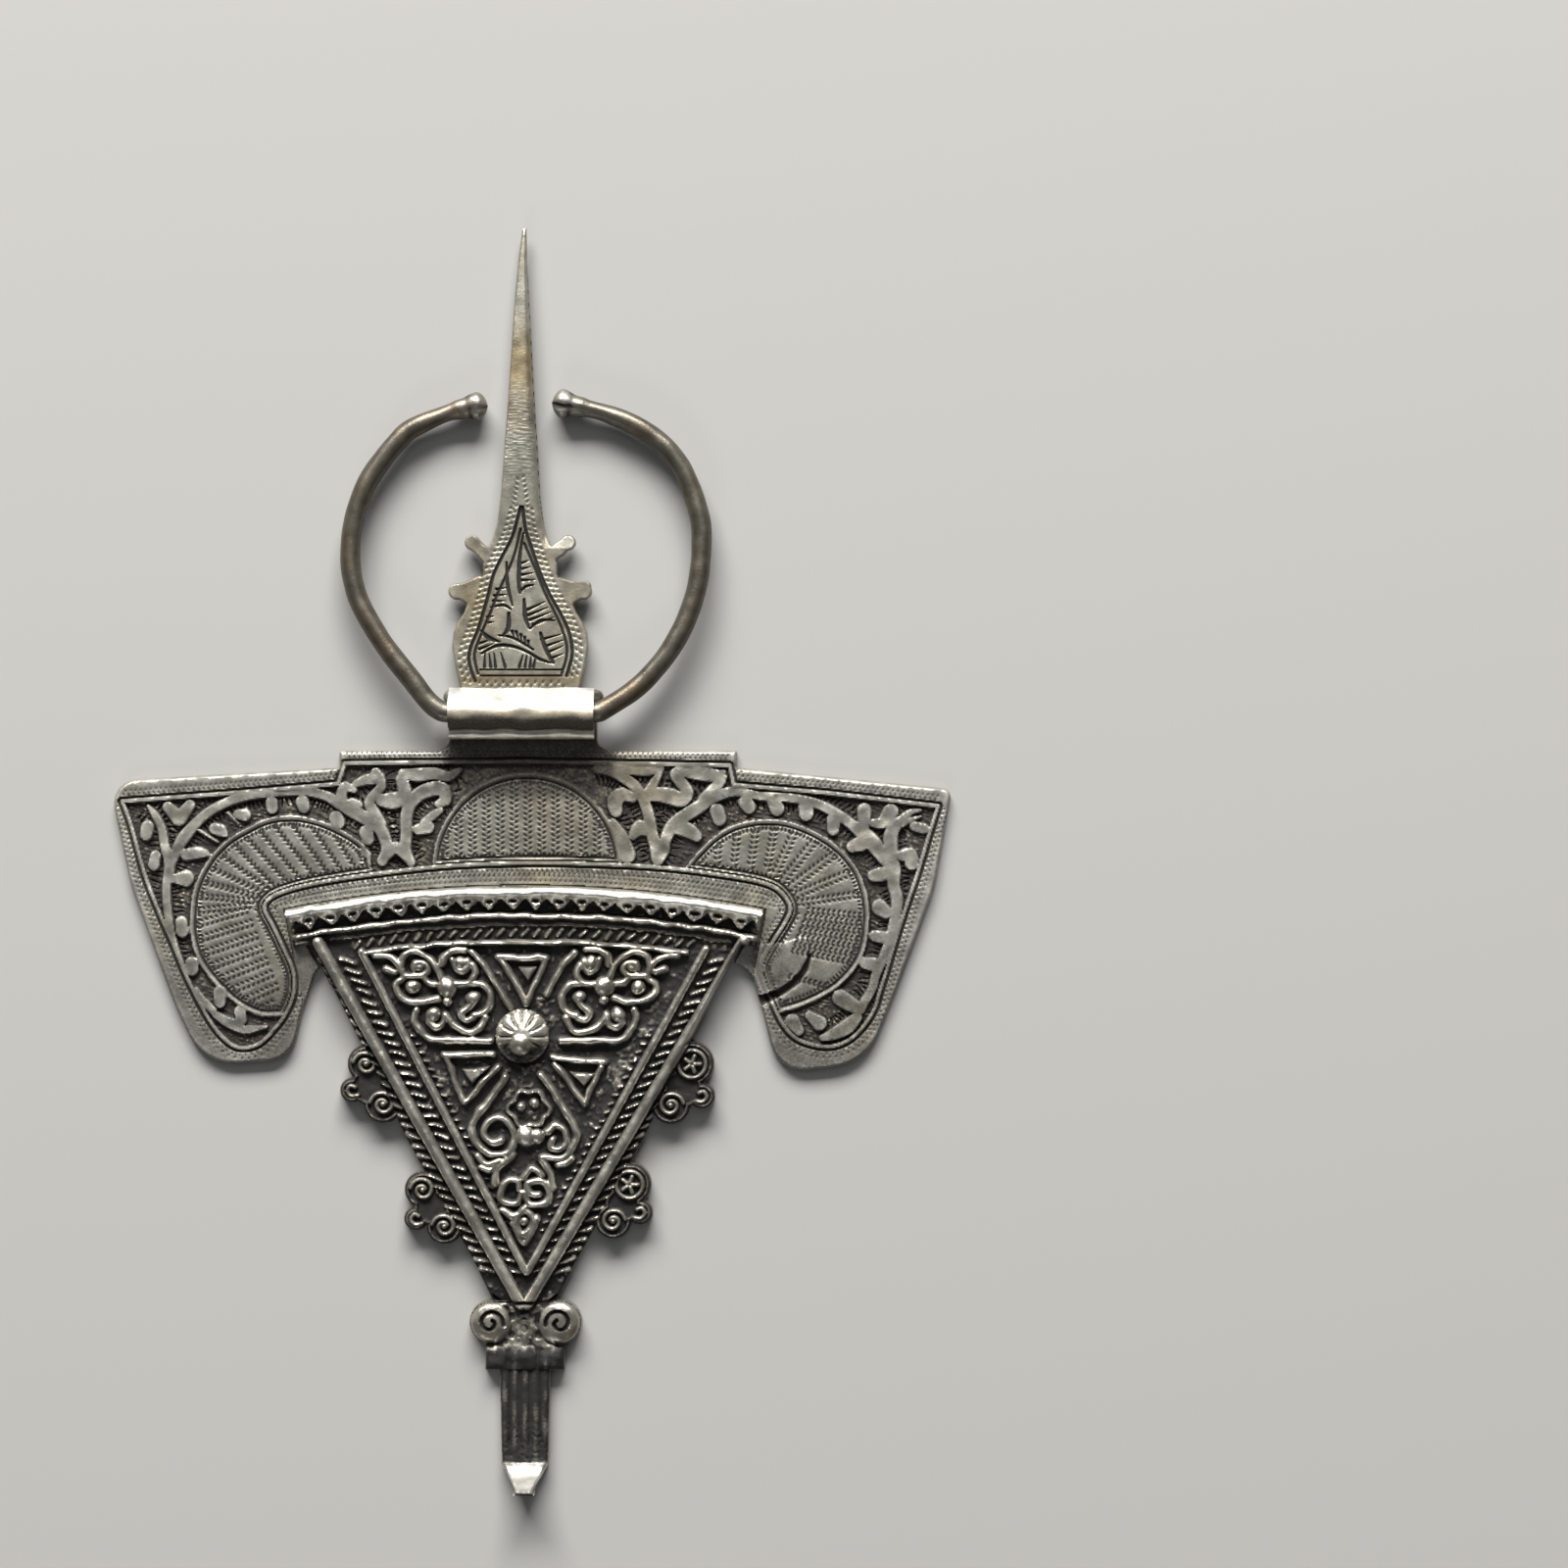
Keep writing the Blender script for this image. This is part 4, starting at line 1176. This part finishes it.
points, faces, marks = folded_sleeve()
sleeve = finish_mesh("sleeve_strip", points, faces, marks, 50.0)
sleeve.data.materials.append(aged_silver("polished silver", (0.6, 0.59, 0.565), (0.05, 0.043, 0.033), 0.42,
                                         tint=0.4, stain=(0.5, 0.42, 0.28), stain_scale=90.0, worn=0.8))
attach(sleeve, "brooch")
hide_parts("sleeve")

# Ring. A drawn wire 3.9 mm thick, bent cold into an open ring whose straight foot turns in the sleeve; each
# end is hammered up into a double knob. At rest the knobs lie on the table.
WIRE_R = 1.95
KNOB_LIFT = 2.95
RING_REACH = 58.4
RING_PATH = [
    (-7, 58.1), (-10.5, 57.8), (-15.8, 56.3), (-21.6, 53.6), (-24.4, 50.9), (-26.6, 48.2), (-29.6, 43.8),
    (-31.5, 39), (-32.5, 34.5), (-32.9, 30), (-32.5, 25.6), (-31.1, 21), (-28.7, 16.4), (-25.4, 11.4),
    (-21.4, 6.4), (-18.2, 2.3), (-16.2, 0.55), (-14.4, 0), (-10, 0), (0, 0), (9, 0), (13.5, 0), (15.6, 0.9),
    (20.3, 3.9), (23.9, 7.3), (27.3, 11.5), (30.3, 16.9), (32.4, 23), (33.3, 29), (33.4, 34.5), (32.6, 39),
    (30.3, 45), (28.5, 48), (26, 50.8), (21.5, 54), (15.5, 56.6), (9, 58.2), (5.1, 58.7)
]


def wire_ring(sides=40):
    """Tube along the smooth ring, tilted about its foot so that the ends reach the table. The wire's radius
    swells into two beads at each end, and the section is round with a little hammered unevenness."""
    path = curve(RING_PATH, 0.16)
    legs = np.gradient(path, axis=0)
    legs /= np.hypot(*legs.T)[:, None]
    run = np.concatenate([[0], np.cumsum(np.hypot(*np.diff(path, axis=0).T))])[:, None]
    left, right = run, run[-1] - run
    swell = 0
    for gap, big in ((left, 0.5), (right, 0.55)):
        swell += big * bell(gap - 1.9, 1.9) + 0.35 * big * bell(gap - 5.6, 1.0) - 0.33 * bell(gap - 8.5, 4)
        swell -= (WIRE_R + big) * (1 - bead(1 - np.clip(gap / 2.0, 0, 1), 1))
    px, py = path.T[:, :, None]
    straight = (np.abs(py) < 0.3) & (px > -15) & (px < 14)
    a = 2 * np.pi * np.arange(sides) / sides
    bumpy = 0.035 * wobble(run + 0 * a, np.cos(a)[None] * 3 + 7 + np.sin(a)[None] * 2, 3.2, 51)
    radius = np.maximum(WIRE_R - 0.04 + swell, 0.05) * (1 + np.where(straight, 0, bumpy))
    split = np.maximum(0.3 * bell(left, 5), 0.6 * bell(right, 3.2) + 0.25 * bell(right, 11))
    seam = bell(a[None] - 1.25, 0.24) * split
    radius = radius * (1 - 0.45 * seam)
    side = radius * (1 + 0.13 * bell(np.minimum(left, right) - 1.9, 2)) * np.cos(a)
    flat, along = px - legs[:, 1:] * side, py + legs[:, :1] * side
    rise = radius * np.sin(a)
    tilt = -np.arcsin(KNOB_LIFT / RING_REACH)
    y = along * np.cos(tilt) - rise * np.sin(tilt)
    z = AXIS_Z + along * np.sin(tilt) + rise * np.cos(tilt)
    points = np.stack([flat, y, z], axis=2).reshape(-1, 3)
    # darker underneath, in the seam and between each end's two beads; the ends rubbed
    grime = np.clip(0.5 - 0.35 * rise / WIRE_R, 0, 1)
    grime = np.clip(grime + 0.4 * (bell(left - 3.5, 0.5) + bell(right - 3.5, 0.5)) + 1.6 * seam, 0, 1)
    worn = 0.4 * bell(np.minimum(left, right), 4) * (1 - grime)
    return points, tube_faces(*rise.shape), [grime.ravel(), np.zeros(grime.size), worn.ravel()]


points, faces, marks = wire_ring()
ring = finish_mesh("wire_ring", points, faces, marks, 60.0)
ring.data.materials.append(aged_silver("handled wire", (0.125, 0.115, 0.092), (0.02, 0.017, 0.013), 0.36,
                                       tint=0.75, stain=(0.13, 0.095, 0.06), stain_scale=110.0, worn=0.7))
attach(ring, "ring")
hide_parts("ring")

# Rivets. Four silver pegs, hammered flush behind, hold the casting under its beam and the foot and sleeve on
# the neck; from the front they are hidden.
rivet_metal = aged_silver("hammered rivets", (0.66, 0.65, 0.62), (0.06, 0.055, 0.05), 0.35)
for name in ("lap_rivet_left", "lap_rivet_right", "neck_rivet_left", "neck_rivet_right"):
    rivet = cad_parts[name]
    rivet.data.materials.clear()
    rivet.data.materials.append(rivet_metal)

# Table, light and camera. The brooch lies on a pale table; a strong lamp stands beyond the pin's point, weak
# ones hang overhead and stand in front, and the camera looks straight down with a long lens.
bpy.ops.mesh.primitive_plane_add(size=4.0, location=(0, 0, -0.0002))
table = bpy.context.object
table.name = "table"
pale = bpy.data.materials.new("pale table")
pale.use_nodes = True
paint = pale.node_tree.nodes["Principled BSDF"].inputs
paint["Base Color"].default_value = (0.33, 0.326, 0.315, 1)
paint["Roughness"].default_value = 0.9
paint["Specular IOR Level"].default_value = 0.1
table.data.materials.append(pale)


def lamp(name, place, target, size, power, colour):
    """A lamp with a flat face, wide and high as given, that stands at a place and faces a target."""
    light = bpy.data.lights.new(name, "AREA")
    light.shape = "RECTANGLE"
    light.size, light.size_y = size
    light.energy, light.color = power, colour
    made = bpy.data.objects.new(name, light)
    made.location = place
    aim = Vector(np.array(target) - np.array(place))
    made.rotation_euler = aim.to_track_quat("-Z", "Y").to_euler()
    bpy.context.scene.collection.objects.link(made)


lamp("key", (-0.2, 2.1, 1.25), (0, -0.02, 0), (2.2, 0.9), 215, (1.0, 0.985, 0.96))
lamp("overhead", (0.25, 1.1, 2.0), (0, 0, 0), (1.5, 1.5), 7, (0.96, 0.98, 1.0))
lamp("front", (-0.5, -1.9, 1.1), (0, 0, 0), (0.8, 0.5), 9, (0.96, 0.98, 1.0))
world = bpy.data.worlds.new("studio")
world.use_nodes = True
world.node_tree.nodes["Background"].inputs["Color"].default_value = (0.95, 0.97, 1.0, 1)
world.node_tree.nodes["Background"].inputs["Strength"].default_value = 0.05
bpy.context.scene.world = world
bpy.context.scene.view_settings.view_transform = "Standard"

FRAME_WIDTH = 0.296
FRAME_MIDDLE = (0.049, -0.0135)
TOP_Z = 0.004
LENS = 100.0
SENSOR = 36.0
view = bpy.data.cameras.new("camera")
view.lens, view.sensor_width = LENS, SENSOR
camera = bpy.data.objects.new("camera", view)
camera.location = (*FRAME_MIDDLE, FRAME_WIDTH * LENS / SENSOR + TOP_Z)
bpy.context.scene.collection.objects.link(camera)
bpy.context.scene.camera = camera
